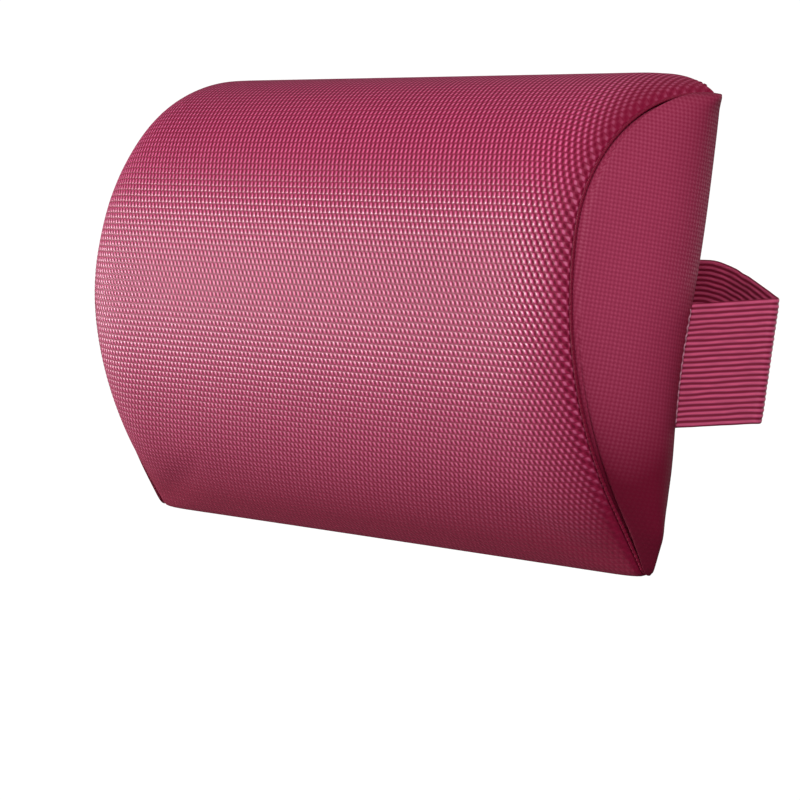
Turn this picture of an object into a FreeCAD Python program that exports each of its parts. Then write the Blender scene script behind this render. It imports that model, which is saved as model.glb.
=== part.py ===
import FreeCAD, Part
import math
import os

import Sketcher

# A reclining-chair headrest: a D-section foam cushion in a sewn mesh cover, and one elastic strap
# whose two ends are sewn into the cover's side seams. The strap leaves each side seam, folds back
# on itself beside the cushion and runs across behind it, so that it loops round the chair.
#
# Frame, in millimetres: +X along the cushion, +Z up, and the front faces -Y. The origin is the
# centre of the cover's flat back face.

SIZES = (
    ("cushion_length", 370.0),
    ("half_height", 100.0),
    ("cushion_depth", 65.0),
    ("apex_height", 35.0),
    ("wedge_angle", 50.0),
    ("crown", 5.0),
    ("low_crown", 2.0),
    ("taper_length", 45.0),
    ("cloth", 1.0),
    ("foam_gap", 0.3),
    ("rabbet", 0.8),
    ("thread_radius", 0.4),
    ("thread_gap", 0.05),
    ("back_overrun", 3.0),
    ("strap_width", 51.0),
    ("strap_thickness", 1.5),
    ("strap_root_y", -1.9),
    ("strap_root_z", -12.0),
    ("fold_x", 218.5),
    ("fold_y", 18.5),
    ("fold_z", -5.0),
    ("fold_radius", 2.5),
    ("fold_cut_x", 208.0),
    ("back_run_x", 150.0),
    ("back_run_y", 42.6),
    ("back_run_z", 12.0),
    ("tack_inset", 2.5),
    ("tack_width", 0.8),
    ("tack_height", 2.4),
    ("tack_proud", 0.4),
    ("tack_pitch", 4.0),
)
TACK_COUNT = 12
MARGIN = 40.0
ACROSS = "YZ_Plane"

doc = FreeCAD.newDocument("headrest")
sheet = doc.addObject("Spreadsheet::Sheet", "Sizes")
for row, (alias, size) in enumerate(SIZES, start=1):
    sheet.set(f"A{row}", alias)
    sheet.set(f"B{row}", str(size))
    sheet.setAlias(f"B{row}", alias)
doc.recompute()
size_of = dict(SIZES)
nodes = []


def bind(thing, **expressions):
    """Bind properties to the sheet; a double underscore in a name stands for a dot."""
    for name, expression in expressions.items():
        thing.setExpression(name.replace("__", "."), expression)


def keep(thing, label):
    """Give a finished sub-part its name and list it for export."""
    thing.Label = label
    nodes.append(thing)
    return thing


def keep_pair(thing, right_label, left_label):
    """List a right-hand sub-part and its mirror image at the cushion's left end."""
    twin = doc.addObject("Part::Mirroring", f"{thing.Name}_twin")
    twin.Source = thing
    twin.Normal = (1, 0, 0)
    keep(thing, right_label)
    keep(twin, left_label)


def new_body(name):
    return doc.addObject("PartDesign::Body", name)


def new_sketch(body, name, plane, offset="0"):
    """A sketch on one of the body's own origin planes, moved along the plane's normal."""
    origin = next(part for part in body.Origin.OriginFeatures if part.Role == plane)
    sketch = body.newObject("Sketcher::SketchObject", name)
    sketch.AttachmentSupport = [(origin, "")]
    sketch.MapMode = "FlatFace"
    bind(sketch, AttachmentOffset__Base__z=offset)
    return sketch


def dimension(sketch, name, expression, *constraint):
    """Add a dimension, name it and bind it to the sheet."""
    index = sketch.addConstraint(Sketcher.Constraint(*constraint))
    sketch.renameConstraint(index, name)
    bind(sketch, **{f"Constraints__{name}": expression})


def relate(sketch, *constraints):
    for constraint in constraints:
        sketch.addConstraint(Sketcher.Constraint(*constraint))


def front_curve(sketch, first, grow):
    """Draw the D's front: a quarter circle, a long tangent arc and the straight lower flank.

    The curves take the sketch's geometry numbers first, first + 1 and first + 2.
    """
    depth = size_of["cushion_depth"]
    apex = size_of["apex_height"]
    turn = math.radians(90.0 - size_of["wedge_angle"])
    flank = math.radians(size_of["wedge_angle"])
    drop = size_of["half_height"] + apex
    # The long arc and the flank together reach from the apex to the lower back corner.
    long_radius = (drop - depth * math.tan(flank)) / (
        math.sin(turn) - (1.0 - math.cos(turn)) * math.tan(flank)
    )
    normal = FreeCAD.Vector(0, 0, 1)
    top_centre = FreeCAD.Vector(0, apex, 0)
    low_centre = FreeCAD.Vector(long_radius - depth, apex, 0)
    top_circle = Part.Circle(top_centre, normal, depth)
    low_circle = Part.Circle(low_centre, normal, long_radius)
    sketch.addGeometry(Part.ArcOfCircle(top_circle, math.pi / 2, math.pi), False)
    low_arc = Part.ArcOfCircle(low_circle, math.pi, math.pi + turn)
    sketch.addGeometry(low_arc, False)
    corner = FreeCAD.Vector(0, -size_of["half_height"], 0)
    sketch.addGeometry(Part.LineSegment(low_arc.EndPoint, corner), False)
    relate(
        sketch,
        ("Tangent", first, 2, first + 1, 1),
        ("Tangent", first + 1, 2, first + 2, 1),
        ("PointOnObject", first, 3, -2),
        ("PointOnObject", first, 1, -2),
        ("Horizontal", first, 2, first, 3),
    )
    radius = f"Sizes.cushion_depth + ({grow})"
    dimension(sketch, "top_radius", radius, "Radius", first, depth)
    dimension(sketch, "apex", "Sizes.apex_height", "DistanceY", -1, 1, first, 3, apex)
    angle = "-Sizes.wedge_angle * 1 deg"
    dimension(sketch, "flank", angle, "Angle", first + 2, -flank)


def d_section(body, name, x_place, grow, low):
    """A closed D section across X, grown by `grow`, with its lower corner `low` further down."""
    sketch = new_sketch(body, name, ACROSS, x_place)
    overrun = size_of["back_overrun"]
    top = size_of["apex_height"] + size_of["cushion_depth"]
    bottom = size_of["half_height"] + overrun * math.tan(math.radians(size_of["wedge_angle"]))
    top_back = FreeCAD.Vector(overrun, top, 0)
    sketch.addGeometry(Part.LineSegment(top_back, FreeCAD.Vector(0, top, 0)), False)
    front_curve(sketch, 1, grow)
    low_back = FreeCAD.Vector(overrun, -bottom, 0)
    sketch.addGeometry(Part.LineSegment(low_back, top_back), False)
    relate(
        sketch,
        ("Coincident", 0, 2, 1, 1),
        ("Horizontal", 0),
        ("Coincident", 3, 2, 4, 1),
        ("Coincident", 4, 2, 0, 1),
        ("Vertical", 4),
    )
    dimension(sketch, "overrun", "Sizes.back_overrun", "DistanceX", -1, 1, 0, 1, overrun)
    reach = f"Sizes.half_height + ({low}) + Sizes.back_overrun * tan(Sizes.wedge_angle * 1 deg)"
    dimension(sketch, "low_corner", reach, "DistanceY", 3, 2, -1, 1, bottom)
    return sketch


def crowned_form(name, inset):
    """The cushion's form, set in by `inset`: even along its middle and pinched in at both ends."""
    body = new_body(name)
    drop = f"({inset}) / cos(Sizes.wedge_angle * 1 deg)"
    full = (f"Sizes.crown - ({inset})", f"Sizes.low_crown - {drop}")
    pinched = (f"-({inset})", f"-{drop}")
    end_x = f"(Sizes.cushion_length / 2 - ({inset}))"
    full_x = "(Sizes.cushion_length / 2 - Sizes.taper_length)"
    places = ((f"-{end_x}", pinched), (f"-{full_x}", full), (full_x, full), (end_x, pinched))
    sections = [
        d_section(body, f"{name}_section_{number}", place, grow, low)
        for number, (place, (grow, low)) in enumerate(places, start=1)
    ]
    loft = body.newObject("PartDesign::AdditiveLoft", f"{name}_loft")
    loft.Profile = sections[0]
    loft.Sections = sections[1:]
    loft.Ruled = True
    body.Tip = loft
    return body


def box(name, low_corner, extent):
    """A box from its low corner and its size, each given as three expressions."""
    block = doc.addObject("Part::Box", name)
    bind(block, Length=extent[0], Width=extent[1], Height=extent[2])
    bind(block, Placement__Base__x=low_corner[0])
    bind(block, Placement__Base__y=low_corner[1])
    bind(block, Placement__Base__z=low_corner[2])
    return block


def slab(name, low_x, high_x, low_y, high_y):
    """A box between two X places and two Y places, tall enough to hold the whole cushion."""
    tall = f"2 * Sizes.half_height + {2 * MARGIN}"
    extent = (f"({high_x}) - ({low_x})", f"({high_y}) - ({low_y})", tall)
    return box(name, (low_x, low_y, f"-Sizes.half_height - {MARGIN}"), extent)


def common(name, base, tool):
    thing = doc.addObject("Part::Common", name)
    thing.Base = base
    thing.Tool = tool
    return thing


def cut(name, base, tool):
    thing = doc.addObject("Part::Cut", name)
    thing.Base = base
    thing.Tool = tool
    return thing


def pipe(body, spine, profile, name, transition="Transformed"):
    """Sweep a profile along a spine, both of the body's own sketches."""
    sweep = body.newObject("PartDesign::AdditivePipe", name)
    sweep.Profile = profile
    sweep.Spine = (spine, [])
    sweep.Transition = transition
    body.Tip = sweep
    return sweep


def circle_profile(body, name, plane, offset, centre, radius):
    """A circle on a plane; its centre is two sheet expressions and two starting values."""
    sketch = new_sketch(body, name, plane, offset)
    (x_rule, x_start), (y_rule, y_start) = centre
    start = FreeCAD.Vector(x_start, y_start, 0)
    circle = Part.Circle(start, FreeCAD.Vector(0, 0, 1), size_of[radius])
    sketch.addGeometry(circle, False)
    dimension(sketch, "radius", f"Sizes.{radius}", "Radius", 0, size_of[radius])
    dimension(sketch, "across", x_rule, "DistanceX", -1, 1, 0, 3, x_start)
    dimension(sketch, "up", y_rule, "DistanceY", -1, 1, 0, 3, y_start)
    return sketch


# ---------------------------------------------------------------- cushion: cover and foam

HALF = "Sizes.cushion_length / 2"
DEEP = f"-Sizes.cushion_depth - {MARGIN}"

outside = crowned_form("cover_outside", "0")
inside = crowned_form("cover_inside", "Sizes.cloth")
filling = crowned_form("foam_form", "Sizes.cloth + Sizes.foam_gap")

foam_back = "-Sizes.cloth - Sizes.foam_gap"
foam_trim = slab("foam_trim", f"-{HALF}", HALF, DEEP, foam_back)
keep(common("foam", filling, foam_trim), "foam_core")

# The mesh cover's front is one panel, from the top back seam round the front to the lower one.
wrap_x = f"({HALF} - Sizes.cloth)"
wrap_trim = slab("wrap_trim", f"-{wrap_x}", wrap_x, DEEP, "-Sizes.cloth")
wrap = cut("wrap", common("wrap_block", outside, wrap_trim), inside)
keep(wrap, "front_panel")

# Each end panel is let in by the rabbet that holds its seam's thread.
end_body = new_body("end_form")
end_outline = d_section(
    end_body,
    "end_outline",
    f"{HALF} - Sizes.cloth",
    "-Sizes.rabbet",
    "-Sizes.rabbet / cos(Sizes.wedge_angle * 1 deg)",
)
end_plate = end_body.newObject("PartDesign::Pad", "end_pad")
end_plate.Profile = end_outline
bind(end_plate, Length="Sizes.cloth")
end_body.Tip = end_plate
end_trim = slab("end_trim", "0", f"{HALF} + {MARGIN}", DEEP, "-Sizes.cloth")
keep_pair(common("end_panel", end_body, end_trim), "right_end_panel", "left_end_panel")


def back_outline(sketch):
    """The back panel's eight-sided outline: straight along the middle, drawn in at the ends."""
    half = size_of["cushion_length"] / 2
    rabbet = size_of["rabbet"]
    rise = size_of["cloth"] * math.tan(math.radians(size_of["wedge_angle"]))
    end_x = half - rabbet
    full_x = half - size_of["taper_length"]
    top = size_of["half_height"] - rabbet
    low = -size_of["half_height"] + rise + rabbet
    points = [
        (full_x, top + size_of["crown"]),
        (-full_x, top + size_of["crown"]),
        (-end_x, top),
        (-end_x, low),
        (-full_x, low - size_of["low_crown"]),
        (full_x, low - size_of["low_crown"]),
        (end_x, low),
        (end_x, top),
    ]
    count = len(points)
    for number in range(count):
        start = FreeCAD.Vector(*points[number], 0)
        end = FreeCAD.Vector(*points[(number + 1) % count], 0)
        sketch.addGeometry(Part.LineSegment(start, end), False)
    for number in range(count):
        relate(sketch, ("Coincident", number, 2, (number + 1) % count, 1))
    relate(sketch, ("Vertical", 6))
    relate(sketch, ("Symmetric", 0, 1, 0, 2, -2), ("Symmetric", 1, 2, 6, 2, -2))
    relate(sketch, ("Symmetric", 3, 1, 5, 2, -2), ("Symmetric", 4, 1, 4, 2, -2))
    full_rule = "Sizes.cushion_length / 2 - Sizes.taper_length"
    end_rule = "Sizes.cushion_length / 2 - Sizes.rabbet"
    top_rule = "Sizes.half_height - Sizes.rabbet"
    low_rule = (
        "Sizes.half_height - Sizes.cloth * tan(Sizes.wedge_angle * 1 deg) - Sizes.rabbet"
    )
    dimension(sketch, "full_top_x", full_rule, "DistanceX", -1, 1, 0, 1, full_x)
    dimension(sketch, "full_low_x", full_rule, "DistanceX", -1, 1, 4, 2, full_x)
    dimension(sketch, "end_x", end_rule, "DistanceX", -1, 1, 6, 2, end_x)
    dimension(sketch, "end_top", top_rule, "DistanceY", -1, 1, 6, 2, top)
    dimension(sketch, "end_low", low_rule, "DistanceY", 6, 1, -1, 1, -low)
    rise_rule = f"{top_rule} + Sizes.crown"
    fall_rule = f"{low_rule} + Sizes.low_crown"
    crown_top = top + size_of["crown"]
    crown_low = size_of["low_crown"] - low
    dimension(sketch, "full_top", rise_rule, "DistanceY", -1, 1, 0, 1, crown_top)
    dimension(sketch, "full_low", fall_rule, "DistanceY", 4, 2, -1, 1, crown_low)


back_body = keep(new_body("back_plate"), "back_panel")
back_sketch = new_sketch(back_body, "back_outline", "XZ_Plane")
back_outline(back_sketch)
back_pad = back_body.newObject("PartDesign::Pad", "back_pad")
back_pad.Profile = back_sketch
bind(back_pad, Length="Sizes.cloth")
back_body.Tip = back_pad

# ---------------------------------------------------------------- seam threads

thread = size_of["thread_radius"]
seam_y = "-Sizes.cloth + Sizes.thread_radius"

# The curved seam round each end, in the corner between the front and the end panel.
tube = new_body("end_thread_tube")
seam_x = f"{HALF} - Sizes.cloth + Sizes.thread_radius"
curve = new_sketch(tube, "end_thread_path", ACROSS, seam_x)
front_curve(curve, 0, "-Sizes.thread_radius")
lowest = "Sizes.half_height - Sizes.thread_radius / cos(Sizes.wedge_angle * 1 deg)"
dimension(curve, "low_corner", lowest, "DistanceY", 2, 2, -1, 1, size_of["half_height"])
relate(curve, ("PointOnObject", 2, 2, -2))
start_x = size_of["cushion_length"] / 2 - size_of["cloth"] + thread
start_z = size_of["apex_height"] + size_of["cushion_depth"] - thread
start_z_rule = "Sizes.apex_height + Sizes.cushion_depth - Sizes.thread_radius"
ring = ((seam_x, start_x), (start_z_rule, start_z))
ring_sketch = circle_profile(tube, "end_thread_section", "XZ_Plane", "0", ring, "thread_radius")
pipe(tube, curve, ring_sketch, "end_thread_sweep")
thread_back = "-Sizes.cloth - Sizes.thread_radius / 2"
thread_trim = slab("end_thread_trim", "0", f"{HALF} + {MARGIN}", DEEP, thread_back)
end_thread = common("end_thread", tube, thread_trim)
keep_pair(end_thread, "right_end_seam_thread", "left_end_seam_thread")

# The straight seam down each side of the back panel; the strap's end is sewn into it.
upright = doc.addObject("Part::Cylinder", "side_thread")
bind(upright, Radius="Sizes.thread_radius")
bind(upright, Height="2 * Sizes.half_height - 6 * Sizes.cloth")
bind(upright, Placement__Base__x=f"{HALF} - Sizes.thread_radius")
bind(upright, Placement__Base__y=seam_y)
bind(upright, Placement__Base__z="-Sizes.half_height + 4 * Sizes.cloth")
keep_pair(upright, "right_side_seam_thread", "left_side_seam_thread")


def edge_thread(name, label, end_rule, end_start, crown_rule, crown_start, direction):
    """The thread along the back panel's top or lower edge, in three straight runs."""
    body = keep(new_body(name), label)
    spine = new_sketch(body, f"{name}_path", "XZ_Plane", "Sizes.cloth - Sizes.thread_radius")
    end_x = size_of["cushion_length"] / 2 - size_of["rabbet"]
    full_x = size_of["cushion_length"] / 2 - size_of["taper_length"]
    end_z = direction * end_start
    full_z = direction * (end_start + crown_start)
    points = ((-end_x, end_z), (-full_x, full_z), (full_x, full_z), (end_x, end_z))
    for start, end in zip(points, points[1:]):
        run = Part.LineSegment(FreeCAD.Vector(*start, 0), FreeCAD.Vector(*end, 0))
        spine.addGeometry(run, False)
    relate(spine, ("Coincident", 0, 2, 1, 1), ("Coincident", 1, 2, 2, 1))
    relate(spine, ("Symmetric", 0, 1, 2, 2, -2), ("Symmetric", 1, 1, 1, 2, -2))
    end_x_rule = f"{HALF} - Sizes.rabbet"
    full_x_rule = f"{HALF} - Sizes.taper_length"
    full_rule = f"{end_rule} + {crown_rule}"
    dimension(spine, "end_x", end_x_rule, "DistanceX", -1, 1, 2, 2, end_x)
    dimension(spine, "full_x", full_x_rule, "DistanceX", -1, 1, 1, 2, full_x)
    if direction > 0:
        dimension(spine, "end_z", end_rule, "DistanceY", -1, 1, 2, 2, end_start)
        dimension(spine, "full_z", full_rule, "DistanceY", -1, 1, 1, 2, full_z)
    else:
        dimension(spine, "end_z", end_rule, "DistanceY", 2, 2, -1, 1, end_start)
        dimension(spine, "full_z", full_rule, "DistanceY", 1, 2, -1, 1, -full_z)
    centre_rule = end_rule if direction > 0 else f"-({end_rule})"
    centre = ((seam_y, thread - size_of["cloth"]), (centre_rule, end_z))
    start = f"-({end_x_rule})"
    profile = circle_profile(body, f"{name}_section", ACROSS, start, centre, "thread_radius")
    pipe(body, spine, profile, f"{name}_sweep", "Right corner")


flank_rise = size_of["cloth"] * math.tan(math.radians(size_of["wedge_angle"]))
proud = thread + size_of["thread_gap"] - size_of["rabbet"]
top_edge = "Sizes.half_height - Sizes.rabbet"
low_edge = f"{top_edge} - Sizes.cloth * tan(Sizes.wedge_angle * 1 deg)"
beyond = " + Sizes.thread_radius + Sizes.thread_gap"
top_start = size_of["half_height"] + proud
edge_thread(
    "top_thread",
    "top_seam_thread",
    top_edge + beyond,
    top_start,
    "Sizes.crown",
    size_of["crown"],
    1,
)
edge_thread(
    "lower_thread",
    "lower_seam_thread",
    low_edge + beyond,
    top_start - flank_rise,
    "Sizes.low_crown",
    size_of["low_crown"],
    -1,
)

# ---------------------------------------------------------------- elastic strap

NEAR_SLOPE = f"((Sizes.fold_y - Sizes.strap_root_y) / (Sizes.fold_x - {HALF}))"
FAR_SLOPE = "((Sizes.back_run_y - Sizes.fold_y) / (Sizes.fold_x - Sizes.back_run_x))"
CUT_BACK = "(Sizes.fold_x - Sizes.fold_cut_x)"


def strap_section(body, name, x_place, centre_y, centre_z, slope):
    """The band's upright cross section where a plane across X cuts a run of that slope."""
    sketch = new_sketch(body, name, ACROSS, x_place)
    half_width = size_of["strap_width"] / 2
    half_thick = size_of["strap_thickness"] / 2
    corners = (
        (-half_thick, -half_width),
        (half_thick, -half_width),
        (half_thick, half_width),
        (-half_thick, half_width),
    )
    for number in range(4):
        start = FreeCAD.Vector(*corners[number], 0)
        end = FreeCAD.Vector(*corners[(number + 1) % 4], 0)
        sketch.addGeometry(Part.LineSegment(start, end), False)
    for number in range(4):
        relate(sketch, ("Coincident", number, 2, (number + 1) % 4, 1))
    relate(sketch, ("Horizontal", 0), ("Horizontal", 2), ("Vertical", 1), ("Vertical", 3))
    thick = f"Sizes.strap_thickness * sqrt(1 + {slope} ^ 2)"
    dimension(sketch, "thick", thick, "DistanceX", 0, 1, 0, 2, 2 * half_thick)
    wide = "Sizes.strap_width"
    dimension(sketch, "wide", wide, "DistanceY", 1, 1, 1, 2, 2 * half_width)
    left_rule = f"({centre_y}) - {thick} / 2"
    low_rule = f"({centre_z}) - Sizes.strap_width / 2"
    dimension(sketch, "low_y", left_rule, "DistanceX", -1, 1, 0, 1, -half_thick)
    dimension(sketch, "low_z", low_rule, "DistanceY", -1, 1, 0, 1, -half_width)
    return sketch


def strap_run(name, first, last):
    """A straight run of the band at the right end, between two upright sections."""
    body = new_body(name)
    loft = body.newObject("PartDesign::AdditiveLoft", f"{name}_loft")
    sections = [
        strap_section(body, f"{name}_section_{number}", *rules)
        for number, rules in enumerate((first, last), start=1)
    ]
    loft.Profile = sections[0]
    loft.Sections = sections[1:]
    loft.Ruled = True
    body.Tip = loft
    keep_pair(body, f"strap_right_{name}", f"strap_left_{name}")


def fold_outline(sketch, near_y, far_y):
    """The fold seen from above: two legs cut off square, joined by two concentric arcs."""
    cut_x = size_of["fold_cut_x"]
    reach = size_of["fold_x"] - cut_x
    radius = size_of["fold_radius"]
    half_thick = size_of["strap_thickness"] / 2
    near_start = size_of["fold_y"] - reach / 2
    far_start = size_of["fold_y"] + reach / 2
    centre = FreeCAD.Vector(cut_x + reach / 2, size_of["fold_y"], 0)
    normal = FreeCAD.Vector(0, 0, 1)
    bend = math.radians(60.0)
    arcs = [
        Part.ArcOfCircle(Part.Circle(centre, normal, radius + step), -bend, bend)
        for step in (half_thick, -half_thick)
    ]
    outer, inner = arcs
    near_outer = FreeCAD.Vector(cut_x, near_start - half_thick, 0)
    near_inner = FreeCAD.Vector(cut_x, near_start + half_thick, 0)
    far_outer = FreeCAD.Vector(cut_x, far_start + half_thick, 0)
    far_inner = FreeCAD.Vector(cut_x, far_start - half_thick, 0)
    edges = (
        Part.LineSegment(near_outer, outer.StartPoint),
        outer,
        Part.LineSegment(outer.EndPoint, far_outer),
        Part.LineSegment(far_outer, far_inner),
        Part.LineSegment(far_inner, inner.EndPoint),
        inner,
        Part.LineSegment(inner.StartPoint, near_inner),
        Part.LineSegment(near_inner, near_outer),
    )
    for edge in edges:
        sketch.addGeometry(edge, False)
    relate(
        sketch,
        ("Tangent", 0, 2, 1, 1),
        ("Tangent", 1, 2, 2, 1),
        ("Coincident", 2, 2, 3, 1),
        ("Vertical", 3),
        ("Coincident", 3, 2, 4, 1),
        ("Tangent", 4, 2, 5, 2),
        ("Tangent", 5, 1, 6, 1),
        ("Coincident", 6, 2, 7, 1),
        ("Vertical", 7),
        ("Coincident", 7, 2, 0, 1),
        ("Coincident", 1, 3, 5, 3),
        ("Parallel", 0, 6),
        ("Parallel", 2, 4),
    )
    outer_rule = "Sizes.fold_radius + Sizes.strap_thickness / 2"
    inner_rule = "Sizes.fold_radius - Sizes.strap_thickness / 2"
    dimension(sketch, "outer", outer_rule, "Radius", 1, radius + half_thick)
    dimension(sketch, "inner", inner_rule, "Radius", 5, radius - half_thick)
    dimension(sketch, "near_cut", "Sizes.fold_cut_x", "DistanceX", -1, 1, 0, 1, cut_x)
    dimension(sketch, "far_cut", "Sizes.fold_cut_x", "DistanceX", -1, 1, 2, 2, cut_x)
    near_thick = f"Sizes.strap_thickness / 2 * sqrt(1 + {NEAR_SLOPE} ^ 2)"
    far_thick = f"Sizes.strap_thickness / 2 * sqrt(1 + {FAR_SLOPE} ^ 2)"
    low_rule = f"{near_y} - {near_thick}"
    high_rule = f"{far_y} + {far_thick}"
    dimension(sketch, "near_y", low_rule, "DistanceY", -1, 1, 0, 1, near_outer.y)
    dimension(sketch, "far_y", high_rule, "DistanceY", -1, 1, 2, 2, far_outer.y)
    near_angle = math.atan2(outer.StartPoint.y - near_outer.y, outer.StartPoint.x - cut_x)
    far_angle = math.atan2(far_outer.y - outer.EndPoint.y, cut_x - outer.EndPoint.x)
    dimension(sketch, "near_angle", f"atan({NEAR_SLOPE})", "Angle", 0, near_angle)
    far_rule = f"180 deg - atan({FAR_SLOPE})"
    dimension(sketch, "far_angle", far_rule, "Angle", 2, far_angle)


near_y = f"Sizes.fold_y - {NEAR_SLOPE} * {CUT_BACK}"
far_y = f"Sizes.fold_y + {FAR_SLOPE} * {CUT_BACK}"
root = (HALF, "Sizes.strap_root_y", "Sizes.strap_root_z", NEAR_SLOPE)
near_end = ("Sizes.fold_cut_x", near_y, "Sizes.fold_z", NEAR_SLOPE)
far_start = ("Sizes.fold_cut_x", far_y, "Sizes.fold_z", FAR_SLOPE)
far_end = ("Sizes.back_run_x", "Sizes.back_run_y", "Sizes.back_run_z", FAR_SLOPE)
strap_run("near_run", root, near_end)
strap_run("far_run", far_start, far_end)

fold_body = new_body("fold")
fold_low = "Sizes.fold_z - Sizes.strap_width / 2"
fold_sketch = new_sketch(fold_body, "fold_outline", "XY_Plane", fold_low)
fold_outline(fold_sketch, near_y, far_y)
fold_pad = fold_body.newObject("PartDesign::Pad", "fold_pad")
fold_pad.Profile = fold_sketch
bind(fold_pad, Length="Sizes.strap_width")
fold_body.Tip = fold_pad
keep_pair(fold_body, "strap_right_fold", "strap_left_fold")

back_run = box(
    "back_run",
    (
        "-Sizes.back_run_x",
        "Sizes.back_run_y - Sizes.strap_thickness / 2",
        "Sizes.back_run_z - Sizes.strap_width / 2",
    ),
    ("2 * Sizes.back_run_x", "Sizes.strap_thickness", "Sizes.strap_width"),
)
keep(back_run, "strap_back_run")

# The short stitches that tack each strap end into its side seam, in a row on the end panel.
stitches = []
for number in range(TACK_COUNT):
    step = number - (TACK_COUNT - 1) / 2
    low_z = f"Sizes.strap_root_z + {step} * Sizes.tack_pitch - Sizes.tack_height / 2"
    low_y = "-Sizes.cloth - Sizes.tack_inset - Sizes.tack_width"
    extent = ("Sizes.tack_proud", "Sizes.tack_width", "Sizes.tack_height")
    stitches.append(box(f"stitch_{number + 1}", (HALF, low_y, low_z), extent))
tack = doc.addObject("Part::Compound", "tack")
tack.Links = stitches
keep_pair(tack, "right_strap_tack", "left_strap_tack")

# ---------------------------------------------------------------- checks and export

doc.recompute()
for thing in doc.Objects:
    if "Invalid" in thing.State or "Error" in thing.State:
        raise RuntimeError(f"{thing.Name} failed: {thing.State}")

os.makedirs("parts", exist_ok=True)
for thing in nodes:
    shape = thing.Shape
    if shape.isNull() or not shape.isValid() or not shape.Solids:
        raise RuntimeError(f"{thing.Label} has no valid solid")
    bounds = shape.BoundBox
    print(
        f"{thing.Label:24s} {len(shape.Solids):3d} solid {shape.Volume:12.1f} mm3 "
        f"x {bounds.XMin:8.2f} {bounds.XMax:8.2f} y {bounds.YMin:8.2f} {bounds.YMax:8.2f} "
        f"z {bounds.ZMin:8.2f} {bounds.ZMax:8.2f}"
    )
    shape.exportStep(f"parts/{thing.Label}.step")
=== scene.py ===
"""A reclining-chair headrest: a D-section cushion in woven mesh with a ribbed elastic strap.

The cover's four panels are built as flat-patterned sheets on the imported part's own sizes, filled
out by a short cloth simulation, rolled in along their seams and given a woven finish. The strap is
one ribbed band that runs from seam to seam round behind the cushion.
"""

import logging
import math
from dataclasses import dataclass, field
from enum import Enum
from typing import Callable, Iterable, Sequence

import bmesh
import bpy
from mathutils import Matrix, Vector, noise
from mathutils.bvhtree import BVHTree
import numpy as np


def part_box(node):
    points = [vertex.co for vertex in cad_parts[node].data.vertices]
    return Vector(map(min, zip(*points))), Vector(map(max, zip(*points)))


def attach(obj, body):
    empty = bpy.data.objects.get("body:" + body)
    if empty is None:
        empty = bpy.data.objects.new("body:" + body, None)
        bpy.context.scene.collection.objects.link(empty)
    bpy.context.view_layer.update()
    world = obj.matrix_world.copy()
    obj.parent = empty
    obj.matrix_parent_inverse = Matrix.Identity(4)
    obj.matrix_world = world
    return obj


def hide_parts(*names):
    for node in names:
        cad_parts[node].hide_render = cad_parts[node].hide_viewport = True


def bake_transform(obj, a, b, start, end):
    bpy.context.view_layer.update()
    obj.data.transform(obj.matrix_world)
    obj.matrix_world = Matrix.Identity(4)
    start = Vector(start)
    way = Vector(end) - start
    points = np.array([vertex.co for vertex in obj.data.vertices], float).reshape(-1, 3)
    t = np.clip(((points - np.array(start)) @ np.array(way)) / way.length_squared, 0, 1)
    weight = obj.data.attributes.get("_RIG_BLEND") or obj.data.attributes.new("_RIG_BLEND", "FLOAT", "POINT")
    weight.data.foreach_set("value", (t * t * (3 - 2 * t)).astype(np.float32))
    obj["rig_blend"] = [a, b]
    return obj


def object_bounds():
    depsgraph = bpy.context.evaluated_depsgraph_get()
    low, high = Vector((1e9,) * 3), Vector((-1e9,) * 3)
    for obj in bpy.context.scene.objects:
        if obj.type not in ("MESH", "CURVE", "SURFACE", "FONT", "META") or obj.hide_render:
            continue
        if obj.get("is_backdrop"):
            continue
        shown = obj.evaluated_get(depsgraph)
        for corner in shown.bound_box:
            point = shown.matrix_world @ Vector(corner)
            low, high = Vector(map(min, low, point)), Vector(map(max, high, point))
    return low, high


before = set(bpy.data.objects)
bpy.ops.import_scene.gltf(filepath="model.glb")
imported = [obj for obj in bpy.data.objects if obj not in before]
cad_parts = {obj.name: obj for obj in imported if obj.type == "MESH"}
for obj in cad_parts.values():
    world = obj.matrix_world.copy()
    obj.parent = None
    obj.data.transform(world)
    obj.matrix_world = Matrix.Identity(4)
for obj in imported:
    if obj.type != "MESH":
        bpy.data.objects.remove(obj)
CAD_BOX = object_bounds()

log = logging.getLogger("headrest")

MM = 0.001
X_AXIS = Vector((1.0, 0.0, 0.0))
Y_AXIS = Vector((0.0, 1.0, 0.0))
Z_AXIS = Vector((0.0, 0.0, 1.0))
TOUCH = MM / 10.0

Colour = tuple[float, float, float]


class Side(Enum):
    """Which end of the cushion a piece belongs to."""

    RIGHT = 1
    LEFT = -1

    @property
    def label(self) -> str:
        """The side's name, as the pieces use it."""
        return self.name.lower()


# ------------------------------------------------------------------------------- shader helpers


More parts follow.
